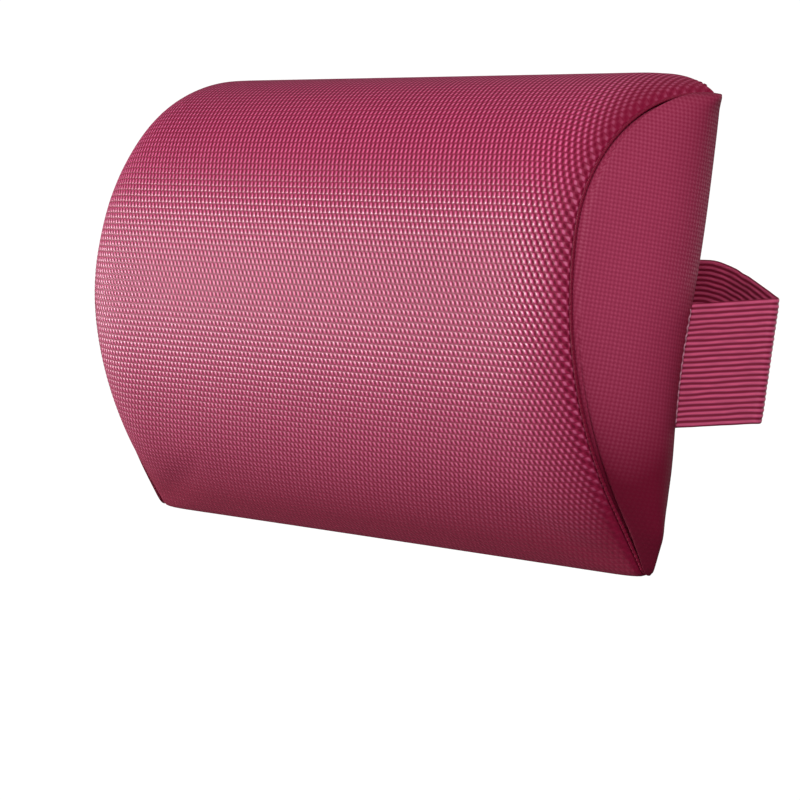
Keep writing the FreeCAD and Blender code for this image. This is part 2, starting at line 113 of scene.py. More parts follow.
class Graph:
    """A thin wrapper round a node tree that adds nodes and links in one call."""

    def __init__(self, tree: bpy.types.NodeTree) -> None:
        """Wrap a tree.

        Args:
            tree: the material's or the group's node tree.
        """
        self.tree = tree
        self.column = 0

    def add(self, kind: str, **settings: object) -> bpy.types.Node:
        """Add a node.

        Args:
            kind: the node's type name, without the "ShaderNode" prefix.
            settings: properties to set on the node.

        Returns:
            The new node.
        """
        prefix = "" if kind.startswith("Node") else "ShaderNode"
        node = self.tree.nodes.new(prefix + kind)
        self.column += 1
        node.location = (self.column * 180.0, 0.0)
        for name, value in settings.items():
            setattr(node, name, value)
        return node

    def feed(self, socket: bpy.types.NodeSocket, source: object) -> None:
        """Link a socket to an output, or set its value.

        Args:
            socket: the input to fill.
            source: an output socket, or a plain value.
        """
        if isinstance(source, bpy.types.NodeSocket):
            self.tree.links.new(source, socket)
        else:
            socket.default_value = source

    def math(self, operation: str, *sources: object) -> bpy.types.NodeSocket:
        """Do arithmetic on sockets and numbers.

        Args:
            operation: one of the Math node's operations.
            sources: its one to three inputs.

        Returns:
            The result's socket.
        """
        node = self.add("Math", operation=operation)
        for socket, source in zip(node.inputs, sources):
            self.feed(socket, source)
        return node.outputs[0]

    def remap(self, value: object, low: float, high: float) -> bpy.types.NodeSocket:
        """Map a value to 0..1 with a smooth step between low and high."""
        node = self.add("MapRange", interpolation_type="SMOOTHSTEP")
        self.feed(node.inputs["Value"], value)
        self.feed(node.inputs["From Min"], low)
        self.feed(node.inputs["From Max"], high)
        return node.outputs["Result"]

    def mix(self, share: object, first: object, second: object) -> bpy.types.NodeSocket:
        """Mix two colours by a share."""
        node = self.add("Mix", data_type="RGBA", clamp_factor=True)
        self.feed(node.inputs["Factor"], share)
        self.feed(node.inputs["A"], _rgba(first))
        self.feed(node.inputs["B"], _rgba(second))
        return node.outputs["Result"]

    def bump(self, height: object, distance: float, strength: float = 1.0) -> bpy.types.NodeSocket:
        """Turn a height into a normal; the distance is the height's full depth in metres."""
        node = self.add("Bump")
        node.inputs["Strength"].default_value = strength
        node.inputs["Distance"].default_value = distance
        self.feed(node.inputs["Height"], height)
        return node.outputs["Normal"]

    def group(self, tree: bpy.types.NodeTree, **sources: object) -> bpy.types.Node:
        """Place a shared group and fill its inputs; an underscore in a name is a space."""
        node = self.add("Group", node_tree=tree)
        for name, source in sources.items():
            self.feed(node.inputs[name.replace("_", " ")], source)
        return node


def _rgba(value: object) -> object:
    """Give a plain colour its fourth channel, and leave sockets alone."""
    return (*value, 1.0) if isinstance(value, tuple) and len(value) == 3 else value


def shade(colour: Colour, factor: float) -> Colour:
    """A colour made darker or paler by a factor."""
    return tuple(min(1.0, channel * factor) for channel in colour)


def new_group(
    name: str, inputs: Sequence[tuple[str, str, float]], outputs: Sequence[str]
) -> tuple[Graph, bpy.types.Node, bpy.types.Node]:
    """Start a shader node group.

    Args:
        name: the group's name.
        inputs: each input's name, kind ("Vector" or "Float") and default value.
        outputs: the names of its float outputs.

    Returns:
        The graph, its input node and its output node.
    """
    tree = bpy.data.node_groups.new(name, "ShaderNodeTree")
    for title, kind, default in inputs:
        socket = tree.interface.new_socket(
            name=title, in_out="INPUT", socket_type=f"NodeSocket{kind}"
        )
        if kind == "Float":
            socket.default_value = default
    for title in outputs:
        tree.interface.new_socket(name=title, in_out="OUTPUT", socket_type="NodeSocketFloat")
    graph = Graph(tree)
    return graph, graph.add("NodeGroupInput"), graph.add("NodeGroupOutput")


def weave_group() -> bpy.types.NodeTree:
    """The mesh cloth's basket weave, from flat cloth coordinates in metres.

    Returns:
        A group that puts out the yarns' height, the standing warp floats and the holes.
    """
    graph, source, sink = new_group(
        "open_weave",
        (
            ("Cloth", "Vector", 0.0),
            ("Warp Pitch", "Float", 0.00158),
            ("Weft Pitch", "Float", 0.0025),
            ("Wander", "Float", 0.0003),
            ("Slant", "Float", 0.35),
        ),
        ("Height", "Float", "Hole"),
    )
    drift = graph.add("TexNoise", noise_dimensions="3D")
    graph.feed(drift.inputs["Vector"], source.outputs["Cloth"])
    drift.inputs["Scale"].default_value = 55.0
    drift.inputs["Detail"].default_value = 1.0
    split_drift = graph.add("SeparateColor")
    graph.feed(split_drift.inputs[0], drift.outputs["Color"])
    split = graph.add("SeparateXYZ")
    graph.feed(split.inputs[0], source.outputs["Cloth"])
    waves = []
    for number, pitch in enumerate(("Warp Pitch", "Weft Pitch")):
        centred = graph.math("SUBTRACT", split_drift.outputs[number], 0.5)
        shift = graph.math("MULTIPLY", centred, source.outputs["Wander"])
        place = graph.math("ADD", split.outputs[number], shift)
        turns = graph.math("DIVIDE", place, source.outputs[pitch])
        angle = graph.math("MULTIPLY", turns, math.pi)
        waves.append((graph.math("COSINE", angle), graph.math("SINE", angle)))
    (across, across_turned), (along, along_turned) = waves
    plain = graph.math("MULTIPLY", across, along)
    slanted = graph.math("MULTIPLY", across_turned, along_turned)
    twill = graph.math("MULTIPLY", slanted, source.outputs["Slant"])
    crossing = graph.math("ADD", plain, twill)
    row = graph.math("ABSOLUTE", along)
    ridge = graph.math("MULTIPLY", row, 0.45)
    graph.feed(sink.inputs["Height"], graph.math("MULTIPLY_ADD", crossing, 0.5, ridge))
    graph.feed(sink.inputs["Float"], graph.remap(crossing, 0.15, 0.90))
    pit = graph.remap(crossing, -0.05, -0.75)
    gap = graph.math("MULTIPLY", graph.remap(row, 0.55, 0.0), 0.7)
    graph.feed(sink.inputs["Hole"], graph.math("MAXIMUM", pit, gap))
    return graph.tree


def mottle_group() -> bpy.types.NodeTree:
    """Slow and fine unevenness that every cloth here shares.

    Returns:
        A group that puts out a broad mottle and a fine fibre speckle, both round 0.5.
    """
    graph, source, sink = new_group(
        "cloth_mottle",
        (("Place", "Vector", 0.0), ("Broad Scale", "Float", 14.0), ("Fibre Scale", "Float", 900.0)),
        ("Broad", "Fibre"),
    )
    for title, scale, detail in (("Broad", "Broad Scale", 3.0), ("Fibre", "Fibre Scale", 2.0)):
        texture = graph.add("TexNoise", noise_dimensions="3D")
        graph.feed(texture.inputs["Vector"], source.outputs["Place"])
        graph.feed(texture.inputs["Scale"], source.outputs[scale])
        texture.inputs["Detail"].default_value = detail
        graph.feed(sink.inputs[title], texture.outputs["Fac"])
    return graph.tree


class SharedGroups:
    """The node groups that more than one finish uses, each built once."""

    def __init__(self) -> None:
        """Build the groups."""
        self.weave = weave_group()
        self.mottle = mottle_group()


# ------------------------------------------------------------------------------------ finishes


def start_material(name: str) -> tuple[bpy.types.Material, Graph, bpy.types.Node]:
    """Make a material with a node tree.

    Args:
        name: the material's name.

    Returns:
        The material, its graph and its Principled shader.
    """
    material = bpy.data.materials.new(name)
    material.use_nodes = True
    graph = Graph(material.node_tree)
    return material, graph, material.node_tree.nodes["Principled BSDF"]


@dataclass(frozen=True)
class MeshCloth:
    """Coated basket-weave mesh, as on a garden recliner's sling."""

    name: str = "woven_mesh"
    ground: Colour = (0.420, 0.010, 0.078)
    # The float crests' colour: partly the yarn's own tone, partly a painted highlight that makes them paler
    # and whiter.
    float_and_highlight: Colour = (0.930, 0.190, 0.400)
    shaded: Colour = (0.150, 0.001, 0.020)
    # Painted shade, mixed in near the seams, at the corners and towards the foot.
    tucked: Colour = (0.225, 0.001, 0.030)
    # Painted shade inside the rolled-in seam grooves.
    folded: Colour = (0.200, 0.002, 0.028)
    warp_pitch: float = 1.58 * MM
    weft_pitch: float = 2.5 * MM
    slant: float = 0.35
    depth: float = 0.34 * MM
    gloss: float = 0.35
    float_share: float = 0.90
    hole_share: float = 0.97
    fuzz: float = 0.22
    roughness: float = 0.34

    def build(self, groups: SharedGroups) -> bpy.types.Material:
        """Make the material.

        Args:
            groups: the shared node groups.

        Returns:
            The finished material, which reads the piece's "cloth" UV map and its fold and painted-shade
            attributes. It paints shade into the weave's holes, near the seams, towards the foot and inside
            the seam grooves, and partly a highlight onto the float crests.
        """
        material, graph, shader = start_material(self.name)
        cloth = graph.add("UVMap", uv_map="cloth")
        weave = graph.group(
            groups.weave,
            Cloth=cloth.outputs["UV"],
            Warp_Pitch=self.warp_pitch,
            Weft_Pitch=self.weft_pitch,
            Slant=self.slant,
        )
        place = graph.add("TexCoord")
        mottle = graph.group(groups.mottle, Place=place.outputs["Object"])
        broad = graph.remap(mottle.outputs["Broad"], 0.30, 0.70)
        tinted = graph.mix(
            graph.math("MULTIPLY", broad, 0.25), self.ground, shade(self.ground, 0.72)
        )
        # Float crests take their colour, which is partly a painted highlight.
        lift = graph.math("MULTIPLY", weave.outputs["Float"], self.float_share)
        standing = graph.mix(lift, tinted, self.float_and_highlight)
        pits = graph.math("MULTIPLY", weave.outputs["Hole"], self.hole_share)
        frayed = graph.remap(mottle.outputs["Fibre"], 0.35, 0.75)
        fuzzed = graph.mix(graph.math("MULTIPLY", frayed, self.fuzz), standing, tinted)
        pitted = graph.mix(pits, fuzzed, self.shaded)
        fold = graph.add("Attribute", attribute_name="fold")
        # Painted shade: the colour darkens near the seams, at the corners and towards the foot.
        pinch = graph.add("Attribute", attribute_name="pinch")
        drawn = graph.mix(pinch.outputs["Fac"], pitted, self.tucked)
        # Painted shade, deepening towards the inner end of each rolled-in seam edge.
        deep = graph.math("MULTIPLY", graph.remap(fold.outputs["Fac"], 0.15, 0.80), 0.96)
        graph.feed(shader.inputs["Base Color"], graph.mix(deep, drawn, self.folded))
        speckle = graph.math("MULTIPLY", mottle.outputs["Fibre"], 0.12)
        rough = graph.math("ADD", speckle, self.roughness - 0.06)
        # Rougher in the holes, where shade is painted and inside the seam grooves.
        worn = graph.math("MULTIPLY", weave.outputs["Hole"], 0.40)
        tucked = graph.math("MULTIPLY_ADD", pinch.outputs["Fac"], 0.42, worn)
        tucked = graph.math("MULTIPLY_ADD", fold.outputs["Fac"], 0.50, tucked)
        graph.feed(shader.inputs["Roughness"], graph.math("ADD", rough, tucked))
        shader.inputs["Specular IOR Level"].default_value = self.gloss
        shader.inputs["Specular Tint"].default_value = (1.0, 0.80, 0.92, 1.0)
        pressed = graph.math("MULTIPLY_ADD", pinch.outputs["Fac"], -0.55, 1.0)
        height = graph.math("MULTIPLY", weave.outputs["Height"], pressed)
        graph.feed(shader.inputs["Normal"], graph.bump(height, self.depth))
        return material


@dataclass(frozen=True)
class RibbedElastic:
    """Braided elastic whose ribs run along it; the ribs are modelled, the yarns are not."""

    name: str = "ribbed_elastic"
    crest: Colour = (0.640, 0.090, 0.205)
    # Painted shade in the valleys between the ribs.
    valley: Colour = (0.190, 0.006, 0.032)
    yarn_pitch: float = 0.85 * MM
    depth: float = 0.10 * MM

    def build(self, groups: SharedGroups) -> bpy.types.Material:
        """Make the material.

        Args:
            groups: the shared node groups.

        Returns:
            The finished material, which reads the band's "cloth" UV map and "rib" attribute.
        """
        material, graph, shader = start_material(self.name)
        cloth = graph.add("UVMap", uv_map="cloth")
        split = graph.add("SeparateXYZ")
        graph.feed(split.inputs[0], cloth.outputs["UV"])
        rib = graph.add("Attribute", attribute_name="rib")
        turns = graph.math("DIVIDE", split.outputs[0], self.yarn_pitch)
        slant = graph.math("MULTIPLY", split.outputs[1], 900.0)
        phase = graph.math("MULTIPLY", graph.math("ADD", turns, slant), 2.0 * math.pi)
        yarn = graph.math("MULTIPLY_ADD", graph.math("SINE", phase), 0.5, 0.5)
        stretched = graph.add("Mapping")
        graph.feed(stretched.inputs["Vector"], cloth.outputs["UV"])
        stretched.inputs["Scale"].default_value = (0.22, 1.0, 1.0)
        mottle = graph.group(
            groups.mottle,
            Place=stretched.outputs["Vector"],
            Broad_Scale=620.0,
            Fibre_Scale=2400.0,
        )
        crest = graph.remap(rib.outputs["Fac"], 0.32, 1.0)
        streak = graph.remap(mottle.outputs["Broad"], 0.35, 0.65)
        # Painted highlight: the crests made paler in random streaks along the band.
        crest_highlight = graph.mix(
            graph.math("MULTIPLY", streak, 0.45), self.crest, shade(self.crest, 1.45)
        )
        fine = graph.mix(graph.math("MULTIPLY", yarn, 0.22), crest_highlight, shade(self.crest, 0.55))
        # The valleys between the ribs take painted shade.
        graph.feed(shader.inputs["Base Color"], graph.mix(crest, self.valley, fine))
        rough = graph.math("MULTIPLY_ADD", mottle.outputs["Fibre"], 0.15, 0.48)
        graph.feed(shader.inputs["Roughness"], rough)
        shader.inputs["Specular IOR Level"].default_value = 0.20
        both = graph.math("ADD", yarn, graph.math("MULTIPLY", mottle.outputs["Broad"], 1.5))
        graph.feed(shader.inputs["Normal"], graph.bump(both, self.depth, 0.8))
        return material


@dataclass(frozen=True)
class SewingThread:
    """Twisted polyester sewing thread."""

    name: str
    colour: Colour
    ply_scale: float = 1500.0
    ply_depth: float = 0.08 * MM

    def build(self, groups: SharedGroups) -> bpy.types.Material:
        """Make the material.

        Args:
            groups: the shared node groups.

        Returns:
            The finished material.
        """
        material, graph, shader = start_material(self.name)
        place = graph.add("TexCoord")
        mottle = graph.group(groups.mottle, Place=place.outputs["Object"], Fibre_Scale=4000.0)
        ply = graph.add("TexWave", bands_direction="DIAGONAL")
        graph.feed(ply.inputs["Vector"], place.outputs["Object"])
        ply.inputs["Scale"].default_value = self.ply_scale
        dark = shade(self.colour, 0.45)
        twisted = graph.mix(graph.math("MULTIPLY", ply.outputs["Fac"], 0.6), self.colour, dark)
        fluff = graph.math("MULTIPLY", mottle.outputs["Fibre"], 0.4)
        fluffed = graph.mix(fluff, twisted, shade(self.colour, 1.3))
        graph.feed(shader.inputs["Base Color"], fluffed)
        shader.inputs["Roughness"].default_value = 0.6
        shader.inputs["Specular IOR Level"].default_value = 0.2
        normal = graph.bump(ply.outputs["Fac"], self.ply_depth)
        graph.feed(shader.inputs["Normal"], normal)
        return material


@dataclass(frozen=True)
class OpenCellFoam:
    """Off-white upholstery foam with small open pores."""

    name: str = "open_cell_foam"
    colour: Colour = (0.80, 0.76, 0.62)
    pore_scale: float = 700.0
    pore_depth: float = 0.5 * MM

    def build(self, groups: SharedGroups) -> bpy.types.Material:
        """Make the material.

        Args:
            groups: the shared node groups.

        Returns:
            The finished material.
        """
        material, graph, shader = start_material(self.name)
        place = graph.add("TexCoord")
        pores = graph.add("TexVoronoi", feature="F1")
        graph.feed(pores.inputs["Vector"], place.outputs["Object"])
        pores.inputs["Scale"].default_value = self.pore_scale
        open_cells = graph.remap(pores.outputs["Distance"], 0.15, 0.45)
        mottle = graph.group(groups.mottle, Place=place.outputs["Object"])
        aged = graph.mix(
            graph.math("MULTIPLY", mottle.outputs["Broad"], 0.3),
            self.colour,
            tuple(c * f for c, f in zip(self.colour, (0.95, 0.88, 0.72))),
        )
        # Painted shade in the pores.
        pore_shade = shade(self.colour, 0.45)
        graph.feed(shader.inputs["Base Color"], graph.mix(open_cells, pore_shade, aged))
        shader.inputs["Roughness"].default_value = 0.95
        graph.feed(shader.inputs["Normal"], graph.bump(open_cells, self.pore_depth))
        return material


@dataclass(frozen=True)
class StudioPaper:
    """The pale seamless paper under the object, which keeps its own white to the eye."""

    name: str = "studio_paper"
    colour: Colour = (0.30, 0.30, 0.30)
    glow: float = 1.0

    def build(self, groups: SharedGroups) -> bpy.types.Material:
        """Make the material.

        Args:
            groups: the shared node groups.

        Returns:
            The finished material, which glows a little so that the paper stays white.
        """
        material, graph, shader = start_material(self.name)
        place = graph.add("TexCoord")
        mottle = graph.group(groups.mottle, Place=place.outputs["Object"], Broad_Scale=2.0)
        mottled = graph.mix(mottle.outputs["Broad"], self.colour, shade(self.colour, 0.985))
        graph.feed(shader.inputs["Base Color"], mottled)
        shader.inputs["Roughness"].default_value = 0.9
        shader.inputs["Emission Color"].default_value = (1.0, 1.0, 1.0, 1.0)
        path = graph.add("LightPath")
        seen = graph.math("MULTIPLY", path.outputs["Is Camera Ray"], self.glow)
        graph.feed(shader.inputs["Emission Strength"], seen)
        return material


class Finishes:
    """Every material, built once."""

    def __init__(self) -> None:
        """Build the groups and the materials."""
        groups = SharedGroups()
        self.cover = MeshCloth().build(groups)
        self.end_cover = MeshCloth(
            name="woven_mesh_end",
            ground=(0.480, 0.044, 0.120),
            # Float crests: the yarn's tone with a little painted highlight.
            float_and_highlight=(0.640, 0.105, 0.215),
            # Painted shade near the seams, towards the foot, along the back edge and towards the top.
            tucked=(0.155, 0.001, 0.020),
            warp_pitch=1.2 * MM,
            weft_pitch=1.2 * MM,
            slant=0.0,
            depth=0.12 * MM,
            float_share=0.45,
            hole_share=0.34,
            fuzz=0.90,
            roughness=0.48,
        ).build(groups)
        self.strap = RibbedElastic().build(groups)
        self.seam = SewingThread("seam_thread", (0.260, 0.005, 0.038)).build(groups)
        self.tack = SewingThread("tack_thread", (0.720, 0.340, 0.460)).build(groups)
        self.foam = OpenCellFoam().build(groups)
        self.paper = StudioPaper().build(groups)


# ------------------------------------------------------------------------------- mesh helpers


def mesh_object(name: str, bm: bmesh.types.BMesh) -> bpy.types.Object:
    """Turn a bmesh into an object at the origin, and free the bmesh.

    Args:
        name: the piece's name.
        bm: the finished bmesh.

    Returns:
        The new object, smooth shaded.
    """
    mesh = bpy.data.meshes.new(name)
    bm.to_mesh(mesh)
    bm.free()
    mesh.polygons.foreach_set("use_smooth", [True] * len(mesh.polygons))
    piece = bpy.data.objects.new(name, mesh)
    bpy.context.scene.collection.objects.link(piece)
    return piece


def finish_piece(
    piece: bpy.types.Object, material: bpy.types.Material, node: str
) -> None:
    """Give a piece its material, hide the CAD node that it stands for and log the pairing.

    Args:
        piece: the piece.
        material: its finish.
        node: the CAD node.
    """
    piece.data.materials.append(material)
    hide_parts(node)
    log.info("%s stands for %s", piece.name, node)


def extrude_chain(
    bm: bmesh.types.BMesh, edges: Iterable[bmesh.types.BMEdge]
) -> tuple[list[bmesh.types.BMVert], list[bmesh.types.BMEdge]]:
    """Extrude a chain of edges in place.

    Args:
        bm: the mesh.
        edges: the chain.

    Returns:
        The new vertices and the new chain.
    """
    grown = bmesh.ops.extrude_edge_only(bm, edges=list(edges))["geom"]
    verts = [part for part in grown if isinstance(part, bmesh.types.BMVert)]
    chain = [part for part in grown if isinstance(part, bmesh.types.BMEdge)]
    return verts, chain


def ease(share: float) -> float:
    """A smooth step from 0 to 1, held at both ends."""
    share = min(max(share, 0.0), 1.0)
    return share * share * (3.0 - 2.0 * share)


def nearness(distance: float, width: float) -> float:
    """How near a place is: 1 at no distance, fading smoothly to nothing over the width."""
    return math.exp(-((distance / width) ** 2))


def running_lengths(points: Sequence[Vector]) -> list[float]:
    """How far along a line each of its points lies."""
    lengths = [0.0]
    for first, second in zip(points, points[1:]):
        lengths.append(lengths[-1] + (second - first).length)
    return lengths


# ------------------------------------------------------------------------------- the D section


@dataclass(frozen=True)
class Section:
    """The outline of the cushion's end, in the YZ plane.

    A quarter circle runs from the top back edge to the foremost line, a long tangent arc follows,
    then a straight flank, and the hem turns up round the foot onto the flat back. The flank and
    the back would meet at the height "low".
    """

    depth: float
    apex: float
    low: float
    flank: float = math.radians(50.0)
    hem: float = 3.0 * MM

    @property
    def top(self) -> float:
        """The height of the top back edge."""
        return self.apex + self.depth

    @property
    def turn(self) -> float:
        """The angle that the long arc turns through."""
        return math.pi / 2.0 - self.flank

    @property
    def long_radius(self) -> float:
        """The long arc's radius, which aims the flank at the foot of the back."""
        drop = self.apex - self.low
        slope = math.tan(self.flank)
        return (drop - self.depth * slope) / (
            math.sin(self.turn) - (1.0 - math.cos(self.turn)) * slope
        )

    @property
    def hem_reach(self) -> float:
        """How far from the foot the hem's arc begins and ends."""
        return self.hem / math.tan(self.turn / 2.0)

    @property
    def seam_low(self) -> float:
        """The height of the seam at the foot of the back."""
        return self.low + self.hem_reach

    @property
    def breaks(self) -> tuple[float, float, float, float]:
        """The distances from the top at which the arc, the flank and the hem begin, and the end."""
        upper = self.depth * math.pi / 2.0
        middle = upper + self.long_radius * self.turn
        fall = self.long_radius * (1.0 - math.cos(self.turn))
        flank = middle + (self.depth - fall) / math.cos(self.flank) - self.hem_reach
        return upper, middle, flank, flank + self.hem * (math.pi - self.turn)

    @property
    def length(self) -> float:
        """The whole outline's length, from the top back edge to the seam at the foot."""
        return self.breaks[3]

    def normal(self, along: float) -> Vector:
        """The outward direction at a distance along the outline."""
        upper, middle, flank, _ = self.breaks
        if along <= upper:
            angle = along / self.depth
            return Vector((0.0, -math.sin(angle), math.cos(angle)))
        angle = min((along - upper) / self.long_radius, self.turn)
        if along > flank:
            angle = self.turn + (along - flank) / self.hem
        return Vector((0.0, -math.cos(angle), -math.sin(angle)))

    def chain(
        self,
        bm: bmesh.types.BMesh,
        travel: bmesh.types.BMLayerItem,
        x: float,
        back: float,
        step: float,
    ) -> list[bmesh.types.BMEdge]:
        """Draw the outline as a chain of edges.

        Args:
            bm: the mesh to draw in.
            travel: the layer for each vertex's distance along the outline.
            x: the chain's place along the cushion.
            back: how far in front of the back plane the chain starts.
            step: about how long an edge is.

        Returns:
            The chain's edges.
        """
        upper, middle, flank, end = self.breaks
        begin = self.depth * math.asin(back / self.depth)
        height = self.apex + math.sqrt(self.depth**2 - back**2)
        last = bmesh.ops.create_vert(bm, co=(x, -back, height))["vert"][0]
        last[travel] = begin

        def arc(centre: tuple[float, float], angle: float, span: tuple[float, float]) -> None:
            nonlocal last
            steps = max(3, round((span[1] - span[0]) / step))
            centre_point = (x, centre[0], centre[1])
            for number in range(1, steps + 1):
                spun = bmesh.ops.spin(
                    bm, geom=[last], cent=centre_point, axis=X_AXIS, angle=angle / steps, steps=1
                )["geom_last"]
                last = next(part for part in spun if isinstance(part, bmesh.types.BMVert))
                last[travel] = span[0] + (span[1] - span[0]) * number / steps

        arc((0.0, self.apex), math.pi / 2.0 - begin / self.depth, (begin, upper))
        arc((self.long_radius - self.depth, self.apex), self.turn, (upper, middle))
        run = flank - middle
        count = max(2, round(run / step))
        move = Vector((0.0, math.cos(self.flank), -math.sin(self.flank))) * (run / count)
        for number in range(1, count + 1):
            last = bmesh.ops.extrude_vert_indiv(bm, verts=[last])["verts"][0]
            bmesh.ops.translate(bm, verts=[last], vec=move)
            last[travel] = middle + run * number / count
        arc((-self.hem, self.seam_low), math.pi - self.turn, (flank, end))
        return list(bm.edges)


# ------------------------------------------------------------------------------------ cushion


@dataclass
class CushionForm:
    """The filled cushion's shape: the end section, and how the cover swells between its seams."""

    half_length: float
    section: Section
    strap_height: float
    seam_back: float = 0.6 * MM
    crown: float = 7.5 * MM
    edge_rise: float = 8.5 * MM
    edge_fall: float = 0.8 * MM
    pinch_length: float = 44.0 * MM
    corner_length: float = 20.0 * MM
    end_swell: float = 7.5 * MM
    top_fade: float = 30.0 * MM
    foot_fade: float = 24.0 * MM
    slump: float = 14.5 * MM
    slump_centre: float = 0.29
    slump_width: float = 0.165
    side_fill: float = 3.0 * MM
    strap_hold: float = 34.0 * MM
    settled: float = 0.8
    settle_fall: float = 50.0 * MM
    step: float = 4.0 * MM

    @classmethod
    def from_frame(cls) -> "CushionForm":
        """Take the cushion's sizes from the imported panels."""
        low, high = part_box("right_end_panel")
        rabbet = 0.8 * (high.x - low.x)
        depth = rabbet - low.y
        top = high.z + rabbet
        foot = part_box("front_panel")[0].z
        section = Section(depth=depth, apex=top - depth, low=foot - 3.0 * MM)
        tack_low, tack_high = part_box("right_strap_tack")
        strap_height = (tack_low.z + tack_high.z) / 2.0
        return cls(half_length=high.x, section=section, strap_height=strap_height)

    def fullness(self, x: float, length: float) -> float:
        """How far the cover has risen out of the pinched end, from 0 at the seam to 1."""
        share = min((self.half_length - abs(x)) / length, 1.0)
        return 1.0 - (1.0 - max(share, 0.0)) ** 2.8

    def near_top(self, along: float) -> float:
        """How near a place on the outline is to the top back edge, from 0 to 1."""
        return nearness(along, self.top_fade)

    def near_foot(self, along: float) -> float:
        """How near a place on the outline is to the foot, from 0 to 1."""
        return nearness(self.section.length - along, self.foot_fade)

    def filled(self, co: Vector, along: float) -> Vector:
        """Where a point of the end section, drawn out along X, lies on the filled cushion.

        Args:
            co: the point.
            along: its distance along the outline.

        Returns:
            The point on the filled cover.
        """
        top, foot = self.near_top(along), self.near_foot(along)
        swell = self.crown * (1.0 - top) * (1.0 - foot) * self.fullness(co.x, self.pinch_length)
        reach = self.corner_length if co.x < 0.0 else self.pinch_length
        rise = self.edge_rise * top * self.fullness(co.x, reach)
        fall = self.edge_fall * foot * self.fullness(co.x, self.corner_length)
        place = co + self.section.normal(along) * swell + Z_AXIS * (rise - fall)
        place.x += self.drawn_in(co.x, along)
        return place

    def drawn_in(self, x: float, along: float) -> float:
        """How far the slumped left end is drawn in along X at a place on the cover."""
        if x >= 0.0:
            return 0.0
        bend = nearness(along / self.section.length - self.slump_centre, self.slump_width)
        return self.slump * bend * (abs(x) / self.half_length) ** 6

    def side_spread(self, z: float) -> float:
        """How far the side seam stands out past the end plane, least where the strap holds it."""
        section = self.section
        share = min(max((z - section.seam_low) / (section.top - section.seam_low), 0.0), 1.0)
        held = nearness(z - self.strap_height, self.strap_hold)
        settled = 1.0 + self.settled * ease((self.strap_height - z) / self.settle_fall)
        lobe = math.sin(math.pi * share) ** 0.6
        return self.side_fill * settled * lobe * (1.0 - 0.9 * held)

    def seam_height(self, x: float, top: bool) -> float:
        """The height of the back seam's top or foot at a place along the cushion."""
        section = self.section
        if top:
            flat = section.apex + math.sqrt(section.depth**2 - self.seam_back**2)
            return self.filled(Vector((x, 0.0, flat)), 0.0).z
        return self.filled(Vector((x, 0.0, section.seam_low)), section.length).z


@dataclass
class SeamRoll:
    """How a panel's edge turns in at a seam."""

    radius: float = 1.5 * MM
    gap: float = 0.14 * MM
    tail: float = 2.2 * MM
    arc_steps: int = 5

    def path(self, leave: Vector, inward: Vector) -> list[tuple[Vector, float, float]]:
        """The rolled edge's offsets from the seam's corner line.

        Args:
            leave: the direction in which the panel reaches the seam.
            inward: the direction in which both panels' edges go in.

        Returns:
            The offsets, each with how deep in the fold it lies, from 0 to 1, and how far along
            the cloth it is past the corner line. The first is on the panel's face.
        """
        leave = leave.normalized()
        inward = inward.normalized()
        bend = leave.angle(inward)
        across = (inward - leave * leave.dot(inward)).normalized()
        back_off = (self.gap + self.radius * (1.0 - math.cos(bend))) / math.sin(bend)
        offsets = []
        for step in range(self.arc_steps + 1):
            angle = bend * step / self.arc_steps
            along = self.radius * math.sin(angle) - back_off
            deep = self.radius * (1.0 - math.cos(angle))
            place = leave * along + across * deep
            offsets.append((place, 0.75 * step / self.arc_steps, self.radius * angle - back_off))
        last, _, cloth = offsets[-1]
        offsets.append((last + inward * self.tail, 1.0, cloth + self.tail))
        return offsets


